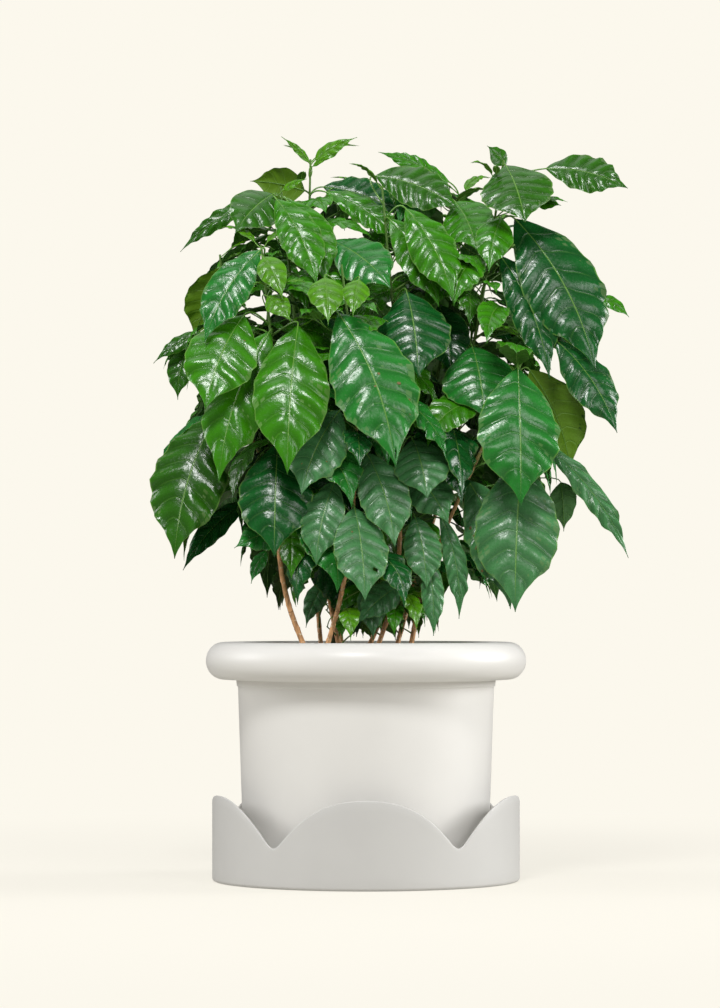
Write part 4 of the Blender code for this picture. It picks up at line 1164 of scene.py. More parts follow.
def noise_value(tree, place, scale, detail, roughness=0.55):
    values = {"Scale": scale, "Detail": detail, "Roughness": roughness, "Vector": place}
    return add_node(tree, "TexNoise", values).outputs["Fac"]


def object_place(tree, stretch=None):
    """Object coordinates, drawn out along an axis where a pattern runs that way."""
    place = add_node(tree, "TexCoord").outputs["Object"]
    if stretch is None:
        return place
    return add_node(tree, "Mapping", {"Scale": stretch, "Vector": place}).outputs["Vector"]


def new_material(name):
    made = bpy.data.materials.new(name)
    made.use_nodes = True
    return made, made.node_tree, made.node_tree.nodes["Principled BSDF"]


def bump(tree, shader, height, strength, distance):
    node = add_node(tree, "Bump", {"Strength": strength, "Distance": distance, "Height": height})
    feed(tree, shader, {"Normal": node.outputs["Normal"]})


def new_group(name, inputs, outputs):
    """(group, its input node, its output node), with its sockets by name."""
    group = bpy.data.node_groups.new(name, "ShaderNodeTree")
    for label, kind in inputs.items():
        group.interface.new_socket(name=label, in_out="INPUT", socket_type="NodeSocket" + kind)
    for label in outputs:
        group.interface.new_socket(name=label, in_out="OUTPUT", socket_type="NodeSocketFloat")
    return group, group.nodes.new("NodeGroupInput"), group.nodes.new("NodeGroupOutput")


def use_group(tree, group, inputs=None):
    node = tree.nodes.new("ShaderNodeGroup")
    node.node_tree = group
    feed(tree, node, inputs or {})
    return node.outputs


@functools.cache
def leaf_pattern():
    """Midrib, side veins, margin and underside, read from the leaf's own map, with a share for painted
    shade along the veins and painted light on the bulges between them.
    """
    names = ("Rib", "Veins", "Margin", "Under", "Height", "Between")
    group, _, out = new_group("leaf_pattern", {}, names)
    place = add_node(group, "UVMap")
    place.uv_map = LEAF_MAP
    split = add_node(group, "SeparateXYZ", {"Vector": place.outputs["UV"]})
    across, along = split.outputs["X"], split.outputs["Y"]
    folded = maths(group, "MODULO", maths(group, "MULTIPLY", across, 4.0), 2.0)
    outward = maths(group, "ABSOLUTE", maths(group, "SUBTRACT", folded, 1.0))
    step = maths(group, "ADD", maths(group, "MULTIPLY", along, VEINS_TO_MAP), 0.5)
    cycle = maths(group, "FRACT", step)
    from_vein = maths(group, "ABSOLUTE", maths(group, "SUBTRACT", cycle, 0.5))
    rib = ease(group, outward, *RIB_EDGE, 1.0, 0.0)
    fade = ease(group, outward, *VEIN_FADE)
    veins = maths(group, "MULTIPLY", ease(group, from_vein, *VEIN_EDGE, 1.0, 0.0), fade)
    # The margin mask paints the leaf's paler edge together with a painted highlight where the edge
    # catches the light.
    margin = ease(group, outward, *MARGIN_EDGE)
    under = maths(group, "GREATER_THAN", across, 0.5)
    height = maths(group, "SUBTRACT", 1.0, maths(group, "MAXIMUM", veins, rib))
    # Painted shade and light: darkest on the veins and by the midrib, lightest on the bulges between the
    # veins.
    middle, inner = ease(group, from_vein, 0.0, 0.5), ease(group, outward, 0.0, 0.9, 0.6, 1.0)
    between = maths(group, "MULTIPLY", middle, inner)
    feed(group, out, dict(zip(names, (rib, veins, margin, under, height, between))))
    return group


@functools.cache
def surface_grain():
    """Fine grain in a finish: a mask of broad tone, and a height for its bump."""
    inputs = {"Place": "Vector", "Fine": "Float", "Broad": "Float"}
    group, given, out = new_group("surface_grain", inputs, ("Tone", "Height"))
    found = {}
    for name, detail in GRAIN_DETAIL.items():
        values = {"Detail": detail, "Vector": given.outputs["Place"], "Scale": given.outputs[name]}
        found[name] = add_node(group, "TexNoise", values).outputs["Fac"]
    feed(group, out, {"Tone": ease(group, found["Broad"], 0.3, 0.7), "Height": found["Fine"]})
    return group


def grained(tree, fine, broad, stretch=None):
    """(tone, height) of the shared grain at this piece's own scale."""
    values = {"Fine": fine, "Broad": broad, "Place": object_place(tree, stretch)}
    outputs = use_group(tree, surface_grain(), values)
    return outputs["Tone"], outputs["Height"]


def glaze_material(settings):
    made, tree, shader = new_material("satin_glaze")
    tone, height = grained(tree, fine=900.0, broad=14.0)
    base = tints(tree, tone, settings.glaze, 0.985, 1.015)
    rough = ease(tree, tone, 0.0, 1.0, *GLAZE_ROUGH)
    feed(tree, shader, {"Base Color": base, "Roughness": rough, **GLAZE_COAT})
    bump(tree, shader, height, strength=0.05, distance=0.0002)
    return made


def paint_material(settings):
    made, tree, shader = new_material("matte_paint")
    tone, height = grained(tree, fine=2600.0, broad=20.0)
    base = tints(tree, tone, settings.paint, 0.985, 1.015)
    rough = ease(tree, height, 0.3, 0.7, *PAINT_ROUGH)
    feed(tree, shader, {"Base Color": base, "Roughness": rough})
    bump(tree, shader, height, strength=0.12, distance=0.0001)
    return made


def earth_material(name, base, rough):
    made, tree, shader = new_material(name)
    tone, height = grained(tree, fine=1400.0, broad=160.0)
    feed(tree, shader, {"Base Color": tints(tree, tone, base, 0.55, 1.6), "Roughness": rough})
    bump(tree, shader, height, strength=0.6, distance=0.0006)
    return made


@functools.cache
def dry_material(settings):
    made, tree, shader = new_material("dry_spot")
    tone, height = grained(tree, fine=1800.0, broad=500.0)
    feed(tree, shader, {"Base Color": tints(tree, tone, settings.dry, 0.6, 1.3), "Roughness": DRY_ROUGH})
    bump(tree, shader, height, strength=0.4, distance=0.0003)
    return made


@functools.cache
def bark_material(name, settings, green_from, green_full):
    """Tan bark with pale scars low down, passing into green wood higher up."""
    made, tree, shader = new_material(name)
    tone, height = grained(tree, fine=1500.0, broad=420.0, stretch=(1.0, 1.0, 0.28))
    wood = tints(tree, tone, settings.bark, 0.55, 1.12)
    grain = noise_value(tree, object_place(tree, (1.0, 1.0, 1.7)), scale=260.0, detail=2.0)
    wood = mix_colours(tree, ease(tree, grain, 0.6, 0.68), wood, settings.scar)
    split = add_node(tree, "SeparateXYZ", {"Vector": object_place(tree)})
    level = maths(tree, "ADD", split.outputs["Z"], maths(tree, "MULTIPLY", tone, BARK_BLUR))
    base = mix_colours(tree, ease(tree, level, green_from, green_full), wood, settings.green)
    feed(tree, shader, {"Base Color": base, "Roughness": BARK_ROUGH})
    bump(tree, shader, height, strength=0.5, distance=0.0004)
    return made


def old_bark_material(settings):
    made, tree, shader = new_material("mossy_bark")
    tone, height = grained(tree, fine=1100.0, broad=190.0, stretch=(1.0, 1.0, 0.4))
    wood = tints(tree, tone, settings.old_bark, 0.5, 1.5)
    moss = ease(tree, noise_value(tree, object_place(tree), scale=120.0, detail=3.0), 0.46, 0.6)
    base = mix_colours(tree, moss, wood, settings.moss)
    feed(tree, shader, {"Base Color": base, "Roughness": OLD_BARK_ROUGH})
    bump(tree, shader, height, strength=0.8, distance=0.0006)
    return made


@functools.cache
def leaf_material(name, settings):
    """Glossy above with pale ribs, paler and matte below; painted shade and painted light follow the
    quilting above.
    """
    base = getattr(settings, name)
    made, tree, shader = new_material("leaf_" + name)
    pattern = use_group(tree, leaf_pattern())
    rib, veins, margin, under = (pattern[n] for n in ("Rib", "Veins", "Margin", "Under"))
    vein_tone = tuple(b * 0.9 + r * 0.22 for b, r in zip(base, settings.rib))
    # Painted shade darkens the lamina along the veins and by the midrib; painted light brightens the
    # bulges between them.
    above = tints(tree, pattern["Between"], base, 0.72, 1.14)
    pale = settings.rib
    # The pale margin is partly the leaf's own paler edge and partly a painted highlight along it.
    for mask, share, colour in ((veins, 0.5, vein_tone), (margin, 0.75, pale), (rib, 0.7, pale)):
        above = mix_colours(tree, maths(tree, "MULTIPLY", mask, share), above, colour)
    # Leaves that show their back get an underside painted brighter, as if light shone through them.
    lift = OLIVE_BACKLIGHT_LIFT if name == "olive" else UNDERSIDE_LIFT
    back_tone = tuple(b * 0.75 + u for b, u in zip(base, lift))
    back_rib = tuple(0.5 * b + 0.5 * r for b, r in zip(back_tone, settings.rib))
    ribs = maths(tree, "MAXIMUM", rib, maths(tree, "MULTIPLY", veins, 0.6))
    below = mix_colours(tree, ribs, back_tone, back_rib)
    grain = noise_value(tree, object_place(tree), scale=420.0, detail=3.0)
    gloss = ease(tree, grain, 0.3, 0.7, *LEAF_GLOSS[name])
    values = {
        "Base Color": mix_colours(tree, under, above, below),
        "Roughness": maths(tree, "ADD", maths(tree, "MULTIPLY", under, UNDER_ROUGH), gloss),
        "Specular IOR Level": LEAF_SPECULAR,
    }
    feed(tree, shader, values)
    height = maths(tree, "ADD", pattern["Height"], maths(tree, "MULTIPLY", grain, 0.8))
    bump(tree, shader, height, strength=0.55, distance=0.0005)
    return made


# Fine leaves

LEAF_MAP = "OFBake"
VEINS_TO_MAP = 16.0
STALK_PLACE = (0.25, 0.5 / VEINS_TO_MAP)
CAP_PLACE = (0.25, 0.0)
VEIN_ROWS = 4
TIP_VEINS = 1.5
TIP_MAP = 0.27
VEIN_SWEEP = 0.13
VEIN_OFFSET = 0.24
TIP_FLAT = 2.5
VEINS = ((SHORT_LEAF * 0.55, 4), (SHORT_LEAF, 6), (math.inf, 8))
LONG_COLUMNS = (0.07, 0.22, 0.42, 0.64, 0.84, 1.0)
SHORT_COLUMNS = (0.1, 0.38, 0.7, 1.0)
LEAST_HALF_WIDTH = 0.3
GROOVE = 0.6
FINE_TIP_NARROWING = 0.74
FINE_TIP_BEND = 0.75
SHORT_SHAPE = (0.72, 1.15)
YOUNG_SHAPE = (0.62, 1.35)
SCALLOP = 0.055
DENT = 0.008
DENTS = 4
DENT_RANGES = ((1.5, 5.5), (-1.4, 1.4), (0.0, math.tau))
STALK_RADII = (0.95, 0.75)
KEEL_RADIUS = 0.28
KEEL_SHARE = 0.92
STALK_STEPS = 7
KEEL_STEPS = 12
STALK_SIDES = 6
STALK_SCALE = (0.45, 180.0)
KEEL_DROP = 0.35
KEEL_START = 6.0
YOUNG_SLIM = 0.88
RIPPLE_RANGE = (0.8, 1.2)
WAVE_RANGE = (0.5, 1.2)
CUP_RANGE = (-0.2, 0.02)
TURNS_RANGE = (0.7, 1.05)
CREST = 0.85
QUILT_RISE = 0.6
QUILT_FALL = (0.72, 4)
DENT_RISE = 0.7
EDGE_THINNING = 6
FULL_THICKNESS_FROM = 1.5
GROOVE_WIDTH = 0.08
MIDDLE_WIDTH = 0.2
SLIM_SHARE = 0.25
BLEMISH = 7
BLEMISH_SIDES = 11
BLEMISH_RISE = 0.22
BLEMISH_EDGE = (0.6, 1.15)
BLEMISH_RINGS = ((-2.0, 1.0), (0.6, 0.85), (1.0, 0.35))


def outline(share, shift, fullness):
    """The blade's outline for a whole array of shares, with a longer drip tip."""
    share = np.clip(share, 0.0, 1.0)
    body = np.clip(np.sin(np.pi * share**shift), 0.0, 1.0) ** fullness
    past = np.clip((share - TIP_START) / (1.0 - TIP_START), 0.0, 1.0)
    return body * (1.0 - FINE_TIP_NARROWING * past**FINE_TIP_BEND)


class FineLeaf:
    """The surface of one leaf: quilted between its side veins, waved at its margin."""

    def __init__(self, leaf, settings, number):
        rng = random.Random(number)
        self.leaf = leaf
        self.veins = next(count for most, count in VEINS if leaf.length <= most)
        halves = LONG_COLUMNS if self.veins > VEINS[0][1] else SHORT_COLUMNS
        self.across = np.array([-c for c in reversed(halves)] + [0.0] + list(halves))
        frames = leaf.frames([i / MIDRIB_STEPS for i in range(MIDRIB_STEPS + 1)])
        self.spots, _, self.sides, self.ups = (np.array([list(f[k]) for f in frames]) for k in range(4))
        self.thick = settings.thickness / MM / 2
        self.ripple = settings.ripple * leaf.length * rng.uniform(*RIPPLE_RANGE)
        self.wave = settings.wave * leaf.length * rng.uniform(*WAVE_RANGE)
        self.turns = rng.uniform(*TURNS_RANGE)
        self.phases = rng.uniform(0.0, math.tau), rng.uniform(0.0, math.tau)
        self.cup = rng.uniform(*CUP_RANGE)
        self.shape = (OUTLINE_SHIFT, OUTLINE_FULLNESS) if leaf.length > SHORT_LEAF else SHORT_SHAPE
        if leaf.tone == "young":
            self.shape = YOUNG_SHAPE
        self.dents = [[rng.uniform(*span) for span in DENT_RANGES] for _ in range(DENTS)]

    def at(self, values, share):
        """Values known along the midrib, read at an array of shares."""
        step = np.clip(share * MIDRIB_STEPS, 0.0, MIDRIB_STEPS - 1e-6)
        low = step.astype(int)
        part = (step - low)[..., None]
        return values[low] * (1.0 - part) + values[low + 1] * part

    def surfaces(self):
        """(upper, under) points, row by row along the leaf and column by column across it."""
        rows = self.veins * VEIN_ROWS + 1
        run = np.linspace(0.0, 1.0, rows)[:, None]
        t = self.across[None, :]
        a = np.abs(t)
        offset = VEIN_OFFSET / self.veins * np.sign(t) * np.minimum(1.0, a / MIDDLE_WIDTH)
        share = run + (VEIN_SWEEP * a**1.5 + offset) * 4.0 * run * (1.0 - run)
        spot, side, up = (self.at(v, share) for v in (self.spots, self.sides, self.ups))
        width = self.leaf.width * (YOUNG_SLIM if self.leaf.tone == "young" else 1.0)
        half = np.maximum(outline(share, *self.shape) * width / 2, LEAST_HALF_WIDTH)
        ends = np.sqrt(np.clip(np.sin(np.pi * run), 0.0, 1.0))
        cycle = np.sin(np.pi * run * self.veins)
        between = np.abs(cycle) ** CREST
        size = np.minimum(1.0, half / (SLIM_SHARE * self.leaf.width))
        flat_tip = np.minimum(1.0, (1.0 - run) * self.veins / TIP_FLAT)
        fall, power = QUILT_FALL
        quilt = self.ripple * between * ends * size * flat_tip * a**QUILT_RISE
        quilt *= 1.0 - fall * a**power
        phase = np.where(t < 0, self.phases[0], self.phases[1])
        swing = np.sin(math.tau * run * self.veins * self.turns + phase)
        wave = self.wave * swing * a**3 * ends * size
        groove = GROOVE * np.exp(-((a / GROOVE_WIDTH) ** 2)) * ends
        dents = sum(np.sin(math.tau * (v * t + u * run) + turn) for u, v, turn in self.dents)
        dents = DENT * self.leaf.length * dents * ends * size * a**DENT_RISE
        rise = half * (self.leaf.fold * a + self.cup * a**2) + quilt + wave + dents - groove
        scallop = 1.0 + SCALLOP * a * (cycle**2 - 0.5) * ends
        middle = spot + side * (t * half * scallop)[..., None] + up * rise[..., None]
        thick = self.thick * (1.0 - a**EDGE_THINNING) * np.minimum(1.0, half / FULL_THICKNESS_FROM)
        lift = up * thick[..., None]
        return middle + lift, middle - lift

    def cell(self, share, t):
        """Row and column of the upper side's quad at a place on the blade."""
        row = int(share * self.veins * VEIN_ROWS)
        return row, int(np.searchsorted(self.across, t)) - 1

    def blade(self):
        """(points, quads, map of each quad's corners, edge points) of the blade as rings round it."""
        self.upper, self.under = upper, under = self.surfaces()
        rings = np.concatenate([upper, under[:, -2:0:-1]], axis=1)
        rows, size = rings.shape[:2]
        row = np.arange(rows - 1)[:, None] * size
        k = np.arange(size)[None, :]
        after = (k + 1) % size
        quads = np.stack([row + k, row + size + k, row + size + after, row + after], axis=-1)
        t = self.across
        u = np.concatenate([0.25 + 0.25 * t, 0.75 - 0.25 * t[-2::-1]])
        v, last = np.linspace(0.0, self.veins, rows), self.veins - TIP_VEINS
        v = np.where(v > last, last + (v - last) * TIP_MAP, v) / VEINS_TO_MAP
        us, ue, low, high = np.broadcast_arrays(u[:-1], u[1:], v[:-1, None], v[1:, None])
        corners = np.stack([us, low, us, high, ue, high, ue, low], axis=-1)
        edges = np.zeros((rows, size), bool)
        edges[:, [0, len(t) - 1]] = True
        return rings.reshape(-1, 3), quads.reshape(-1, 4), corners.reshape(-1, 4, 2), edges.ravel()

    def stalk(self):
        """(points, radii) down the stalk and on under the blade as its keel."""
        leaf = self.leaf
        control = stalk_bend(leaf)
        points, radii = [], []
        for i in range(STALK_STEPS):
            s = i / STALK_STEPS
            points.append(leaf.root * (1 - s) ** 2 + control * 2 * s * (1 - s) + leaf.base * s**2)
            radii.append(STALK_RADII[0] + (STALK_RADII[1] - STALK_RADII[0]) * s)
        scale = min(1.0, STALK_SCALE[0] + leaf.length / STALK_SCALE[1])
        for i in range(KEEL_STEPS):
            s = KEEL_SHARE * i / (KEEL_STEPS - 1)
            radius = STALK_RADII[1] + (KEEL_RADIUS - STALK_RADII[1]) * s / KEEL_SHARE
            drop = (GROOVE + KEEL_DROP * radius) * min(1.0, KEEL_START * s)
            spot, up = self.at(self.spots, np.array([s]))[0], self.at(self.ups, np.array([s]))[0]
            points.append(Vector(spot - up * drop))
            radii.append(radius)
        return points, [r * scale for r in radii]


def round_tube(path, radii, sides):
    """(points, faces) of a round tube along a path."""
    return ring_faces(tube_rings(path, sides, lambda i, _: radii[i]))


def ring_faces(rings):
    """(points, faces) over a row of rings, closed at both ends."""
    sides = len(rings[0])
    points = [p for ring in rings for p in ring]
    faces = []
    for row in range(0, len(points) - sides, sides):
        for k in range(sides):
            a, b = row + k, row + (k + 1) % sides
            faces.append((a, b, b + sides, a + sides))
    faces.append(tuple(range(sides))[::-1])
    faces.append(tuple(range(len(points) - sides, len(points))))
    return points, faces


def shown(name, data, materials):
    """The object that shows a mesh with its materials."""
    for material in materials:
        data.materials.append(material)
    obj = bpy.data.objects.new(name, data)
    bpy.context.scene.collection.objects.link(obj)
    return obj


class Joined:
    """Many small bodies gathered into one mesh."""

    def __init__(self):
        self.points, self.faces, self.slots, self.maps, self.sharp = [], [], [], [], []

    def add(self, points, faces, slot=0, corners=None, edges=None):
        start = len(self.points)
        self.points += [tuple(c * MM for c in p) for p in points]
        self.faces += [tuple(int(k) + start for k in face) for face in faces]
        self.slots += [slot] * len(faces)
        self.maps += corners if corners is not None else [STALK_PLACE] * sum(len(f) for f in faces)
        self.sharp += list(edges) if edges is not None else [False] * len(points)

    def make(self, name, materials, mapped=False):
        data = bpy.data.meshes.new(name)
        data.from_pydata(self.points, [], self.faces)
        obj = shown(name, data, materials)
        data.polygons.foreach_set("material_index", self.slots)
        data.shade_smooth()
        if mapped:
            layer = data.uv_layers.new(name=LEAF_MAP)
            layer.uv.foreach_set("vector", np.array(self.maps, np.float32).ravel())
            ends = np.zeros(len(data.edges) * 2, np.int32)
            data.edges.foreach_get("vertices", ends)
            flags = np.array(self.sharp)[ends.reshape(-1, 2)].all(axis=1)
            crease = data.attributes.new("sharp_edge", "BOOLEAN", "EDGE")
            crease.data.foreach_set("value", flags)
        return obj


def opened(fine, quads, corners, holes):
    """The blade's quads with holes through it: both sides' quads go and walls join their edges."""
    size = 2 * len(fine.across) - 2
    cells = [fine.cell(*place) for place in holes]
    gone = {row * size + column for row, column in cells}
    gone |= {row * size + size - 1 - column for row, column in cells}
    keep = [k for k in range(len(quads)) if k not in gone]
    walls = []
    for row, column in cells:
        top = [row * size + column, (row + 1) * size + column]
        top += [(row + 1) * size + column + 1, row * size + column + 1]
        low = [k // size * size + (size - k % size) % size for k in top]
        sides = [(row, column - 1), (row + 1, column), (row, column + 1), (row - 1, column)]
        for k, beside in enumerate(sides):
            if beside not in cells:
                a, b = k, (k + 1) % 4
                walls.append((top[a], top[b], low[b], low[a]))
    return quads[keep].tolist() + walls, corners[keep], len(walls)


def add_leaf(joined, leaf, settings, number, slot, holes=(), spots=()):
    """Adds one leaf to its mass's mesh: the blade with any holes, the stalk and the dry spots."""
    fine = FineLeaf(leaf, settings, number)
    points, quads, corners, edges = fine.blade()
    faces, corners, walls = opened(fine, quads, corners, holes)
    size = 2 * len(fine.across) - 2
    caps = [tuple(range(size)), tuple(len(points) - 1 - k for k in range(size))]
    places = [tuple(p) for quad in corners for p in quad]
    places += [CAP_PLACE] * (4 * walls + 2 * size)
    joined.add(points.tolist(), faces + caps, slot, places, edges)
    path, radii = fine.stalk()
    joined.add(*round_tube(path, radii, STALK_SIDES), slot)
    rng = random.Random(number)
    for share, t, radius in spots:
        row, column = fine.cell(share, t)
        spot = fine.upper[row : row + 2, column : column + 2].mean(axis=(0, 1))
        corner = fine.upper[row, column]
        normal = np.cross(fine.upper[row, column + 1] - corner, fine.upper[row + 1, column] - corner)
        joined.add(*blemish(Vector(spot), -Vector(normal).normalized(), radius, rng), slot=BLEMISH)


def blemish(spot, normal, radius, rng):
    """(points, faces) of a flat dry spot with a ragged edge, lying on the blade."""
    across = normal.orthogonal().normalized()
    over = normal.cross(across)
    rings = []
    ragged = [rng.uniform(*BLEMISH_EDGE) for _ in range(BLEMISH_SIDES)]
    for rise, share in BLEMISH_RINGS:
        ring = []
        for k, size in enumerate(ragged):
            angle = math.tau * k / BLEMISH_SIDES
            out = (across * math.cos(angle) + over * math.sin(angle)) * radius * size * share
            ring.append(spot + out + normal * (BLEMISH_RISE * rise))
        rings.append(ring)
    return ring_faces(rings)


# Pieces


def add_piece(obj, slot, *nodes):
    """The finished piece rides on the plant's one body and stands for its solid."""
    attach(obj, "root")
    if nodes:
        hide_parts(*nodes)
    return obj


def object_from(bm, name, *materials, smooth=True):
    data = bpy.data.meshes.new(name)
    bm.to_mesh(data)
    bm.free()
    if smooth:
        data.shade_smooth()
    return shown(name, data, materials)


# Pot, saucer and soil, millimetres

MOST_ROUND = 0.45
ROW_NEAR = 0.8
ROW_APART = 9.0
POT_FOOT_Z = 2.3
POT_FLOOR = 11.0
POT_MOUTH = (106.0, 8.0)
POT_ROUND_IN = [6.0, 4.0, 3.0]
POT_ROUND_OUT = [1.2, 0.9, 1.2, 1.5, 1.0]
FOOT_BEVEL = 2.0
COLLAR = (113.5, 170.0)
COLLAR_SLOPE = 0.5
RIM_BOTTOM_Z = 176.0
RIM_FULLNESS = 0.92
RIM_ARC_STEPS = 14
SCALLOP_POWER = 2.35
VALLEY_FROM = 0.955
VALLEY_ROUND = 0.09
SAUCER_STEPS = 360
SAUCER_ROWS = 8
SAUCER_BEND = 3.0
SAUCER_FLAT = 60.0
EDGE_ROUND = 0.9
SOIL_RINGS = 70
SOIL_STEPS = 220
SOIL_DEPTH = 30.0
SOIL_EDGE = 1.0
LUMPS = ((1.0, 0.09), (0.6, 0.22), (0.35, 0.55))
MOUND_HEIGHT = 2.2
MOUND_WIDTH = 9.0
CRUMB_SIZES = (0.8, 3.2)
CRUMB_SHAPE = ((0.6, 1.3), (0.6, 1.0), (0.4, 0.8))
CRUMB_EDGE = 5.0
CRUMB_SHOWN = 0.15
CRUMB_ROUGH = (900.0, 0.0004)
PALE_CRUMBS = 0.12


def softened(profile, round_off, steps=4):
    """The profile with each inner corner rounded off."""
    points = [profile[0]]
    for before, corner, after, size in zip(profile, profile[1:], profile[2:], round_off):
        before, corner, after = Vector(before), Vector(corner), Vector(after)
        if size == 0:
            points.append(tuple(corner))
            continue
        start, end = (
            corner + (other - corner).normalized() * min(size, MOST_ROUND * (other - corner).length)
            for other in (before, after)
        )
        for i in range(steps + 1):
            s = i / steps
            points.append(tuple(start * (1 - s) ** 2 + corner * 2 * s * (1 - s) + end * s**2))
    return points + [profile[-1]]


def divided(profile):
    """The profile with rows near the ends of its straight stretches and along them."""
    points = [profile[0]]
    for low, high in zip(profile, profile[1:]):
        low, high = Vector(low), Vector(high)
        run = (high - low).length
        if run > 4.0 * ROW_NEAR:
            count = max(1, round((run - 2.0 * ROW_NEAR) / ROW_APART))
            stops = [ROW_NEAR + (run - 2.0 * ROW_NEAR) * i / count for i in range(count + 1)]
            points += [tuple(low.lerp(high, stop / run)) for stop in stops]
        points.append(tuple(high))
    return points


def spun(profile, steps):
    """A bmesh turned about Z from (radius, height) points, millimetres."""
    profile = divided(profile)
    bm = bmesh.new()
    verts = [bm.verts.new((r * MM, 0.0, z * MM)) for r, z in profile]
    edges = [bm.edges.new(pair) for pair in zip(verts, verts[1:])]
    turn = {"cent": (0, 0, 0), "axis": (0, 0, 1), "angle": math.tau, "steps": steps}
    bmesh.ops.spin(bm, geom=verts + edges, use_merge=True, **turn)
    bmesh.ops.remove_doubles(bm, verts=bm.verts, dist=0.000001)
    bmesh.ops.recalc_face_normals(bm, faces=bm.faces)
    return bm


def rim_arc(rim_radius):
    """The rolled rim's outer half round, from its top to its underside."""
    round_r = (RIM_TOP_Z - RIM_BOTTOM_Z) / 2
    centre_r = rim_radius - round_r * RIM_FULLNESS
    centre_z = (RIM_TOP_Z + RIM_BOTTOM_Z) / 2
    out = rim_radius - centre_r
    turns = [math.pi / 2 - math.pi * i / (2 * RIM_ARC_STEPS) for i in range(2 * RIM_ARC_STEPS + 1)]
    return [(centre_r + out * math.cos(a), centre_z + round_r * math.sin(a)) for a in turns]


def pot_profile(settings):
    foot, top, wall = settings.foot_radius / MM, settings.top_radius / MM, settings.wall / MM
    floor = POT_FOOT_Z + POT_FLOOR
    mouth, lip = POT_MOUTH
    inside = [(0.0, floor), (foot - wall, floor), (top - wall, RIM_TOP_Z - lip), (mouth, RIM_TOP_Z)]
    arc = rim_arc(settings.rim_radius / MM)
    out, low = COLLAR
    outside = [(out, RIM_BOTTOM_Z), (out - COLLAR_SLOPE, low), (top, low)]
    outside += [(foot, POT_FOOT_Z + FOOT_BEVEL), (foot - FOOT_BEVEL, POT_FOOT_Z), (0.0, POT_FOOT_Z)]
    round_off = POT_ROUND_IN + [0.0] * len(arc) + POT_ROUND_OUT
    return softened(inside + arc + outside, round_off)


def valley_to_peak(settings, angle):
    """Height of the saucer's edge, with its valleys rounded, millimetres."""
    pitch = math.tau / settings.scallops
    share = abs((angle + pitch / 2) % pitch - pitch / 2) / (pitch / 2)
    above = 1.0 - (share / VALLEY_FROM) ** SCALLOP_POWER
    above = (above + math.hypot(above, VALLEY_ROUND)) / 2
    peak, valley = settings.peak / MM, settings.valley / MM
    return min(peak, valley + (peak - valley) * above)


def saucer_mesh(settings):
    """The sheet's outer skin turned, its edge drawn into scallops, then given its thickness."""
    radius, sheet = settings.radius / MM, settings.sheet / MM
    bend = [
        (radius - SAUCER_BEND + SAUCER_BEND * math.sin(a), SAUCER_BEND - SAUCER_BEND * math.cos(a))
        for a in (math.pi / 2 * i / 5 for i in range(6))
    ]
    wall = [(radius, SAUCER_BEND + (i + 1) / SAUCER_ROWS) for i in range(SAUCER_ROWS)]
    bm = spun([(0.0, 0.0), (SAUCER_FLAT, 0.0)] + bend + wall, SAUCER_STEPS)
    for vert in bm.verts:
        over = vert.co.z / MM - SAUCER_BEND
        if over > 1e-6:
            top = valley_to_peak(settings, math.atan2(vert.co.x, -vert.co.y))
            vert.co.z = (SAUCER_BEND + over * (top - SAUCER_BEND)) * MM
    up = sum(face.normal.z * face.calc_area() for face in bm.faces)
    if up > 0:
        bmesh.ops.reverse_faces(bm, faces=bm.faces)
    bmesh.ops.solidify(bm, geom=bm.faces, thickness=sheet * MM)
    bm.normal_update()
    rim = [e for e in bm.edges if e.calc_face_angle(0.0) > 1.0]
    size = {"offset": EDGE_ROUND * MM, "segments": 3, "profile": 0.5}
    bmesh.ops.bevel(bm, geom=rim, affect="EDGES", material=-1, **size)
    return bm


def soil_height(settings, x, y, feet):
    """Height of the soil's surface at a place, millimetres."""
    place = Vector((x, y, 0.0))
    lumps = sum(size * noise.noise(place * scale) for size, scale in LUMPS)
    mound = max(math.exp(-((place - foot).length / MOUND_WIDTH) ** 2) for foot in feet)
    return SOIL_TOP_Z + settings.relief / MM * lumps * (1.0 - mound) + MOUND_HEIGHT * mound


def soil_mesh(settings, feet):
    radius, low = POT_TOP_RADIUS - POT_WALL - SOIL_EDGE, SOIL_TOP_Z - SOIL_DEPTH
    top = [(radius * i / SOIL_RINGS, SOIL_TOP_Z) for i in range(SOIL_RINGS + 1)]
    bm = spun(top + [(radius, low), (0.0, low)], SOIL_STEPS)
    for vert in bm.verts:
        if vert.co.z > (SOIL_TOP_Z - 1.0) * MM:
            vert.co.z = soil_height(settings, vert.co.x / MM, vert.co.y / MM, feet) * MM
    return bm


def crumbs_mesh(settings, feet):
    """Loose crumbs and a few pale grains, half sunk in the soil."""
    rng = random.Random(SEED + 1)
    bm = bmesh.new()
    for _ in range(settings.crumbs):
        size = rng.uniform(*CRUMB_SIZES) * rng.uniform(0.5, 1.0)
        out = (POT_TOP_RADIUS - POT_WALL - CRUMB_EDGE) * math.sqrt(rng.random())
        angle = rng.uniform(0.0, math.tau)
        x, y = out * math.cos(angle), out * math.sin(angle)
        spot = Vector((x, y, soil_height(settings, x, y, feet) + CRUMB_SHOWN * size)) * MM
        turn = Matrix.Rotation(rng.uniform(0, math.tau), 4, Vector([rng.gauss(0, 1) for _ in range(3)]))
        shape = Matrix.Diagonal([rng.uniform(*span) for span in CRUMB_SHAPE] + [1.0])
        before = set(bm.faces)
        pose = Matrix.Translation(spot) @ turn @ shape
        bmesh.ops.create_icosphere(bm, subdivisions=1, radius=size * MM, matrix=pose)
        pale = int(rng.random() < PALE_CRUMBS)
        for face in set(bm.faces) - before:
            face.material_index = pale
    noise.seed_set(SEED)  # noise_vector takes its offset from the clock otherwise
    for vert in bm.verts:
        vert.co += noise.noise_vector(vert.co * CRUMB_ROUGH[0]) * CRUMB_ROUGH[1]
    return bm


# Bark, millimetres

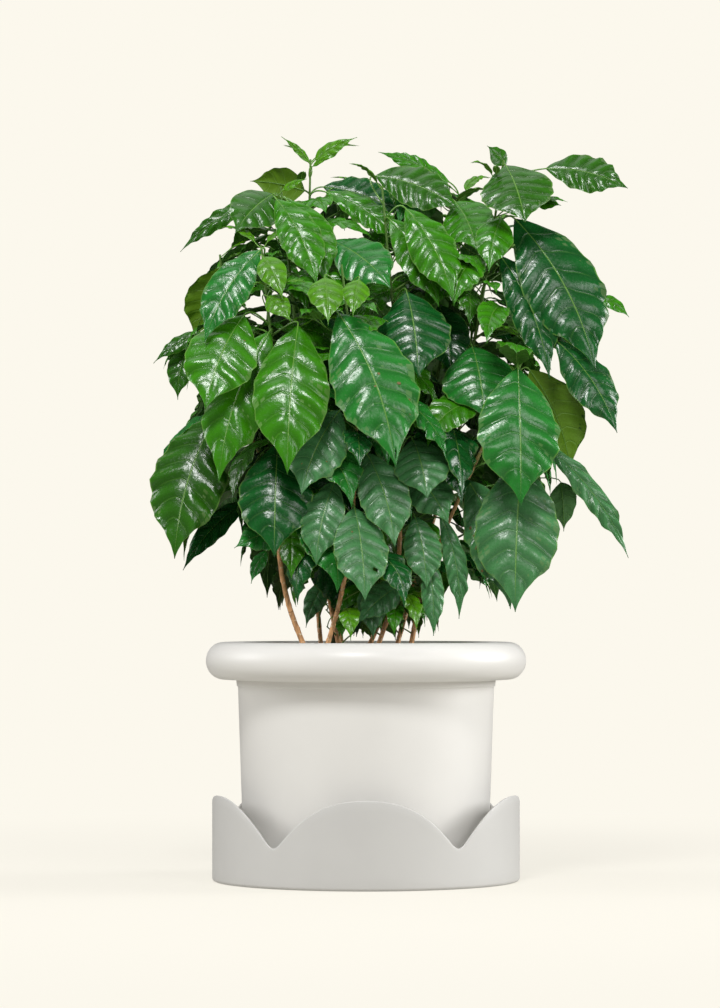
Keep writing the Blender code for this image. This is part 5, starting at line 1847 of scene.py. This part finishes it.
BARK_SIDES = 18
BARK_STEP = 1.4
BEND_REACH = 8
NODE_WIDTH = 1.0
NODE_SWELL = 0.15
OLD_RIDGE = 2.6
RIDGES_ROUND = 1.7
RIDGES_ALONG = 0.16
FINE_RIDGES = (0.5, 3.1)


def evened(path, radii, step):
    """The path and its radii at even steps, the bends at its knots rounded off."""
    rows = np.array([list(p) for p in path])
    lengths = np.concatenate([[0.0], np.cumsum(np.linalg.norm(np.diff(rows, axis=0), axis=1))])
    stops = np.linspace(0.0, lengths[-1], max(2, int(lengths[-1] / step)) + 1)
    places = np.stack([np.interp(stops, lengths, rows[:, k]) for k in range(3)], axis=1)
    reach = min(BEND_REACH, (len(stops) - 1) // 2)
    for _ in range(2):
        before = 2 * places[0] - places[reach:0:-1]
        after = 2 * places[-1] - places[-2 : -reach - 2 : -1]
        wide = np.concatenate([before, places, after])
        total = np.cumsum(np.concatenate([np.zeros((1, 3)), wide]), axis=0)
        places = (total[2 * reach + 1 :] - total[: -2 * reach - 1]) / (2 * reach + 1)
    return [Vector(p) for p in places], np.interp(stops, lengths, radii)


def bark_radius(radius, spot, angle, settings, phase, old):
    """Radius of the bark at a place round the stem: rings at the nodes, ridges along it."""
    spacing = settings.spacing / MM
    ring = (spot.z / spacing + phase) % 1.0
    node = math.exp(-((min(ring, 1.0 - ring) * spacing / NODE_WIDTH) ** 2))
    x, y = math.cos(angle) * RIDGES_ROUND, math.sin(angle) * RIDGES_ROUND
    place = Vector((x, y, spot.z * RIDGES_ALONG + 40.0 * phase))
    rough = noise.noise(place) + FINE_RIDGES[0] * noise.noise(place * FINE_RIDGES[1])
    depth = settings.ridge / MM * min(1.0, radius / 2.0) * (OLD_RIDGE if old else 1.0)
    return radius * (1.0 + NODE_SWELL * node) + depth * rough


def bark_rings(name, path, radii, settings, step=BARK_STEP, sides=BARK_SIDES):
    """Rings of points all the way up a limb, in millimetres."""
    phase = random.Random(name).random()
    places, sizes = evened(path, radii, step)

    def radius_at(i, angle):
        return bark_radius(sizes[i], places[i], angle, settings, phase, name == "stem_old")

    return tube_rings(places, sides, radius_at)


def drawn_out(rings):
    """A limb drawn out from one ring to the next, closed at both ends."""
    bm = bmesh.new()
    verts = bmesh.ops.create_circle(bm, segments=len(rings[0]), radius=MM)["verts"]
    edges = list(bm.edges)
    for number, ring in enumerate(rings):
        if number:
            made = bmesh.ops.extrude_edge_only(bm, edges=edges)["geom"]
            fresh = {g for g in made if isinstance(g, bmesh.types.BMVert)}
            edges = [g for g in made if isinstance(g, bmesh.types.BMEdge) and fresh.issuperset(g.verts)]
            others = ([edge.other_vert(vert) for edge in vert.link_edges] for vert in verts)
            verts = [next(other for other in found if other in fresh) for found in others]
        for vert, spot in zip(verts, ring):
            vert.co = spot * MM
    bmesh.ops.holes_fill(bm, edges=bm.edges, sides=len(rings[0]))
    bmesh.ops.recalc_face_normals(bm, faces=bm.faces)
    return bm


# Stems, twigs and leaves

TWIG_STEP = 3.0
TWIG_BARK_SIDES = 8
GREEN_SPAN = (0.31, 0.47)
TWIG_GREEN_SPAN = (0.12, 0.26)
TONES = ("young", "bright", "mature", "grown", "dark", "dull", "olive")
GROWN_SHARE = 0.45
GROWN_LEFT_OF = -95.0
GROWN_ABOVE = 560.0
# Leading leaves below this height and right of this place take the paler tone that paints sheen and
# light on them.
PAINTED_SHEEN_BELOW = 410.0
PAINTED_SHEEN_RIGHT_OF = -60.0
FRESH_BELOW = 275.0
RETONED = {("right_tall", 2): "grown"}

# Leaves with marks: mass and number of the leaf, its holes as (share, across) and its dry spots
# as (share, across, radius)
MARKED = {
    ("centre_front", 0): (
        ((0.90, 0.3), (0.93, 0.3)),
        ((0.42, 0.1, 1.5), (0.5, -0.05, 1.1), (0.45, 0.62, 1.9), (0.52, 0.75, 1.4), (0.6, 0.7, 1.1)),
    ),
    ("centre_front", 5): (((0.62, 0.45),), ((0.3, -0.4, 1.0), (0.36, -0.3, 0.7))),
    ("centre_front", 3): ((), ((0.5, 0.5, 1.1), (0.7, -0.3, 0.9))),
    ("left_front", 1): ((), ((0.2, 0.5, 0.8), (0.24, 0.42, 0.6))),
    ("right_side", 2): (
        (),
        (
            (0.3, -0.8, 1.8), (0.36, -0.72, 1.4), (0.45, -0.82, 2.1), (0.5, -0.6, 1.4),
            (0.58, -0.78, 2.2), (0.66, -0.66, 1.6), (0.74, -0.5, 1.2), (0.62, -0.9, 1.5),
        ),
    ),
}


def whole_limb(crown, name, path, radii):
    """(path, radii) of a limb and of the stem that carries on from it through its mass."""
    mass = crown.masses.get(name.split("_", 1)[1])
    if mass is None:
        return path, radii
    return path + mass.path[1:], list(radii) + mass.radii[1:]


@functools.cache
def limb_rings(name):
    """(lower rings, upper rings) of a limb, parted at the top of its own solid."""
    crown = grown_crown()
    path, radii = next((p, r) for n, p, r in crown.limbs if n == name)
    rings = bark_rings(name, *whole_limb(crown, name, path, radii), bpy.context.scene.plant_stems)
    top = path[-1].z if name != "stem_old" else math.inf
    part = next((i for i, ring in enumerate(rings) if ring[0].z > top), len(rings))
    return rings[:part], rings[max(0, part - 1) :]


def build_stem(name):
    settings = bpy.context.scene.plant_stems
    lower, _ = limb_rings(name)
    old = name == "stem_old"
    bark = old_bark_material(settings) if old else young_bark(settings)
    obj = object_from(drawn_out(lower), "bark_" + name, bark)
    return add_piece(obj, "old_bark" if old else "bark", name)


def young_bark(settings):
    return bark_material("young_bark", settings, *GREEN_SPAN)


def build_twigs(name):
    """The mass's upper stem and all of its twigs in one joined mesh."""
    settings = bpy.context.scene.plant_stems
    crown = grown_crown()
    mass = crown.masses[name]
    limb = next(n for n, _, _ in crown.limbs if n.endswith("_" + name))
    joined = Joined()
    joined.add(*ring_faces(limb_rings(limb)[1]))
    for number, (path, radii) in enumerate(mass.twigs):
        rings = bark_rings(f"{name}{number}", path, radii, settings, TWIG_STEP, TWIG_BARK_SIDES)
        joined.add(*ring_faces(rings), slot=1)
    wood = [young_bark(settings), bark_material("green_bark", settings, *TWIG_GREEN_SPAN)]
    return add_piece(joined.make("twigs_" + name, wood), "foliage", "foliage_" + name)


def build_leaves(name):
    """All leaves of a mass in one joined mesh, a material for each tone."""
    settings = bpy.context.scene.plant_leaves
    joined = Joined()
    rng = random.Random(name)
    for number, leaf in enumerate(grown_crown().masses[name].leaves):
        if leaf.leading:
            warm = leaf.base.x < GROWN_LEFT_OF or leaf.base.z > GROWN_ABOVE
        else:
            warm = rng.random() < GROWN_SHARE
        own = "grown" if warm and leaf.tone == "mature" else leaf.tone
        tone = RETONED.get((name, number), own)
        # Painted sheen: leading leaves low on the right take a paler, greyer green in place of the light
        # and sheen they lack.
        if leaf.leading and leaf.base.z < PAINTED_SHEEN_BELOW and leaf.base.x > PAINTED_SHEEN_RIGHT_OF:
            tone = "dull"
        elif not leaf.leading and leaf.base.z < FRESH_BELOW:
            tone = "young" if warm else "bright"
        holes, spots = MARKED.get((name, number), ((), ()))
        add_leaf(joined, leaf, settings, f"{name}{number}", TONES.index(tone), holes, spots)
    tones = [leaf_material(tone, settings) for tone in TONES] + [dry_material(settings)]
    obj = joined.make("leaves_" + name, tones, mapped=True)
    return add_piece(obj, "foliage", "foliage_" + name)


# Stage

FLOOR_SIZE = 40.0
GLOSS_FILL = 0.3
FLOOR_SHADE = 0.28
FLOOR_LIT = 1.2
FLOOR_NEAR = (0.25, 1.1)
FLOOR_BOUNCE = 0.4
AROUND = (1.0, 0.99, 0.97)
PHOTO_WIDTH, PHOTO_HEIGHT = 720, 1008
SENSOR = 36.0
AXIS_PIXEL_X = 366
CAMERA_PIXEL_Y = 606
CAMERA_DISTANCE = 3.325
CAMERA_HEIGHT = 0.240
LENS = 135.7
AIM = (0.0, 0.0, 0.3)
LIGHTS = (
    ("key", (1.5, -2.5, 1.3), 1.2),
    ("right", (2.4, 0.3, 0.9), 1.0),
    ("left", (-2.4, 0.2, 1.0), 1.0),
    ("top", (-0.2, 0.3, 2.4), 1.8),
    ("front", (-0.35, -1.9, 2.1), 0.62),
)


def floor_material(settings):
    """Pale floor, as bright as the backdrop; a little of it is lit, so that it takes a shadow."""
    made, tree, shader = new_material("pale_floor")
    tone, _ = grained(tree, fine=300.0, broad=2.0)
    far = add_node(tree, "VectorMath", {0: object_place(tree)})
    far.operation = "LENGTH"
    near = ease(tree, far.outputs["Value"], *FLOOR_NEAR, 1.0, 0.0)
    lit = tints(tree, tone, [FLOOR_SHADE * c for c in settings.backdrop], 0.99, 1.01)
    path = add_node(tree, "LightPath").outputs
    shade = maths(tree, "MULTIPLY", near, FLOOR_SHADE * FLOOR_LIT)
    own = maths(tree, "SUBTRACT", 1.0 - FLOOR_BOUNCE, shade)
    seen = maths(tree, "MULTIPLY", path["Is Camera Ray"], own)
    mirrored = maths(tree, "MULTIPLY", path["Is Glossy Ray"], FLOOR_BOUNCE * (1.0 - GLOSS_FILL))
    values = {
        "Base Color": mix_colours(tree, near, (0.0, 0.0, 0.0), lit),
        "Roughness": 1.0,
        "Specular IOR Level": 0.0,
        "Emission Color": (*settings.backdrop, 1.0),
        "Emission Strength": maths(tree, "SUBTRACT", maths(tree, "ADD", seen, FLOOR_BOUNCE), mirrored),
    }
    feed(tree, shader, values)
    return made


def studio_world(settings):
    """The backdrop as the camera sees it, and a dimmer light all round."""
    world = bpy.data.worlds.new("studio")
    world.use_nodes = True
    tree = world.node_tree
    behind = tree.nodes["Background"]
    feed(tree, behind, {"Color": (*settings.backdrop, 1.0)})
    rays = add_node(tree, "LightPath").outputs
    dimmer = maths(tree, "MULTIPLY", rays["Is Glossy Ray"], settings.fill * (GLOSS_FILL - 1.0))
    strength = maths(tree, "ADD", dimmer, settings.fill)
    around = add_node(tree, "Background", {"Color": (*AROUND, 1.0), "Strength": strength})
    shaders = {0: rays["Is Camera Ray"], 1: around.outputs[0], 2: behind.outputs[0]}
    pick = add_node(tree, "MixShader", shaders)
    feed(tree, tree.nodes["World Output"], {"Surface": pick.outputs[0]})
    return world


def build_stage(scene):
    settings = scene.plant_stage
    bm = bmesh.new()
    bmesh.ops.create_grid(bm, x_segments=1, y_segments=1, size=FLOOR_SIZE / 2)
    object_from(bm, "studio_floor", floor_material(settings), smooth=False)
    scene.world = studio_world(settings)
    for name, spot, size in LIGHTS:
        lamp = bpy.data.lights.new(name, "AREA")
        lamp.energy, lamp.size = getattr(settings, name), size
        obj = bpy.data.objects.new(name + "_light", lamp)
        obj.location = spot
        obj.rotation_euler = (Vector(AIM) - Vector(spot)).to_track_quat("-Z", "Y").to_euler()
        scene.collection.objects.link(obj)
    scene.view_settings.view_transform = "Standard"


def place_camera(scene):
    """The camera at the photo's angle and framing."""
    camera = bpy.data.cameras.new("photo_view")
    camera.lens = LENS
    camera.sensor_width = SENSOR
    camera.shift_x = (PHOTO_WIDTH / 2 - AXIS_PIXEL_X) / PHOTO_HEIGHT
    camera.shift_y = (CAMERA_PIXEL_Y - PHOTO_HEIGHT / 2) / PHOTO_HEIGHT
    obj = bpy.data.objects.new("photo_view", camera)
    obj.location = (0.0, -CAMERA_DISTANCE, CAMERA_HEIGHT)
    obj.rotation_euler = (math.radians(90), 0.0, 0.0)
    scene.collection.objects.link(obj)
    scene.camera = obj


# Operators and panel


def stem_feet():
    """Where each stem stands in the soil."""
    paths = [path for name, path, _ in grown_crown().limbs if name.startswith("stem_")]
    return [Vector((path[0].x, path[0].y, 0.0)) for path in paths]


class PLANT_OT_pot(bpy.types.Operator):
    """Build the glazed pot with its rolled rim"""

    bl_idname = "plant.pot"
    bl_label = "Build Pot"

    def execute(self, context):
        settings = context.scene.plant_pot
        bm = spun(pot_profile(settings), settings.steps)
        add_piece(object_from(bm, "glazed_pot", glaze_material(settings)), "pot_glaze", "pot")
        return {"FINISHED"}


class PLANT_OT_saucer(bpy.types.Operator):
    """Build the saucer with its scalloped edge"""

    bl_idname = "plant.saucer"
    bl_label = "Build Saucer"

    def execute(self, context):
        settings = context.scene.plant_saucer
        obj = object_from(saucer_mesh(settings), "scalloped_saucer", paint_material(settings))
        add_piece(obj, "saucer_sheet", "saucer")
        return {"FINISHED"}


class PLANT_OT_soil(bpy.types.Operator):
    """Build the soil and its crumbs"""

    bl_idname = "plant.soil"
    bl_label = "Build Soil"

    def execute(self, context):
        settings = context.scene.plant_soil
        feet = stem_feet()
        earth = earth_material("potting_soil", settings.earth, 0.95)
        grit = earth_material("pale_grit", settings.grit, 0.9)
        add_piece(object_from(soil_mesh(settings, feet), "potting_soil", earth), "soil", "soil")
        crumbs = object_from(crumbs_mesh(settings, feet), "soil_crumbs", earth, grit, smooth=False)
        add_piece(crumbs, "soil", "soil")
        return {"FINISHED"}


class PLANT_OT_stems(bpy.types.Operator):
    """Build the bark of every stem and bough"""

    bl_idname = "plant.stems"
    bl_label = "Build Stems"

    def execute(self, context):
        for name, _, _ in grown_crown().limbs:
            build_stem(name)
        return {"FINISHED"}


class PLANT_OT_twigs(bpy.types.Operator):
    """Build the upper stems and twigs of every foliage mass"""

    bl_idname = "plant.twigs"
    bl_label = "Build Twigs"

    def execute(self, context):
        for name in grown_crown().masses:
            build_twigs(name)
        return {"FINISHED"}


class PLANT_OT_leaves(bpy.types.Operator):
    """Build the leaves of every foliage mass"""

    bl_idname = "plant.leaves"
    bl_label = "Build Leaves"

    def execute(self, context):
        for name in grown_crown().masses:
            build_leaves(name)
        return {"FINISHED"}


class PLANT_OT_stage(bpy.types.Operator):
    """Build the floor, the lights and the camera"""

    bl_idname = "plant.stage"
    bl_label = "Build Stage"

    def execute(self, context):
        build_stage(context.scene)
        place_camera(context.scene)
        return {"FINISHED"}


class PLANT_PT_panel(bpy.types.Panel):
    bl_label = "Potted Coffee Plant"
    bl_idname = "PLANT_PT_panel"
    bl_space_type = "VIEW_3D"
    bl_region_type = "UI"
    bl_category = "Plant"

    def draw(self, context):
        for operator in OPERATORS:
            self.layout.operator(operator.bl_idname)
        for name in SETTINGS:
            box = self.layout.box()
            group = getattr(context.scene, name)
            for prop in group.__annotations__:
                box.prop(group, prop)


OPERATORS = (
    PLANT_OT_pot,
    PLANT_OT_saucer,
    PLANT_OT_soil,
    PLANT_OT_stems,
    PLANT_OT_twigs,
    PLANT_OT_leaves,
    PLANT_OT_stage,
)
SETTINGS = {
    "plant_pot": PotSettings,
    "plant_saucer": SaucerSettings,
    "plant_soil": SoilSettings,
    "plant_stems": StemSettings,
    "plant_leaves": LeafSettings,
    "plant_stage": StageSettings,
}
CLASSES = (*SETTINGS.values(), *OPERATORS, PLANT_PT_panel)


def register():
    for cls in CLASSES:
        bpy.utils.register_class(cls)
    for name, cls in SETTINGS.items():
        setattr(bpy.types.Scene, name, PointerProperty(type=cls))


def unregister():
    for name in SETTINGS:
        delattr(bpy.types.Scene, name)
    for cls in reversed(CLASSES):
        bpy.utils.unregister_class(cls)


def main():
    register()
    for operator in OPERATORS:
        group, name = operator.bl_idname.split(".")
        if getattr(getattr(bpy.ops, group), name)() != {"FINISHED"}:
            raise RuntimeError(operator.bl_label + " did not finish")


if __name__ == "__main__":
    main()
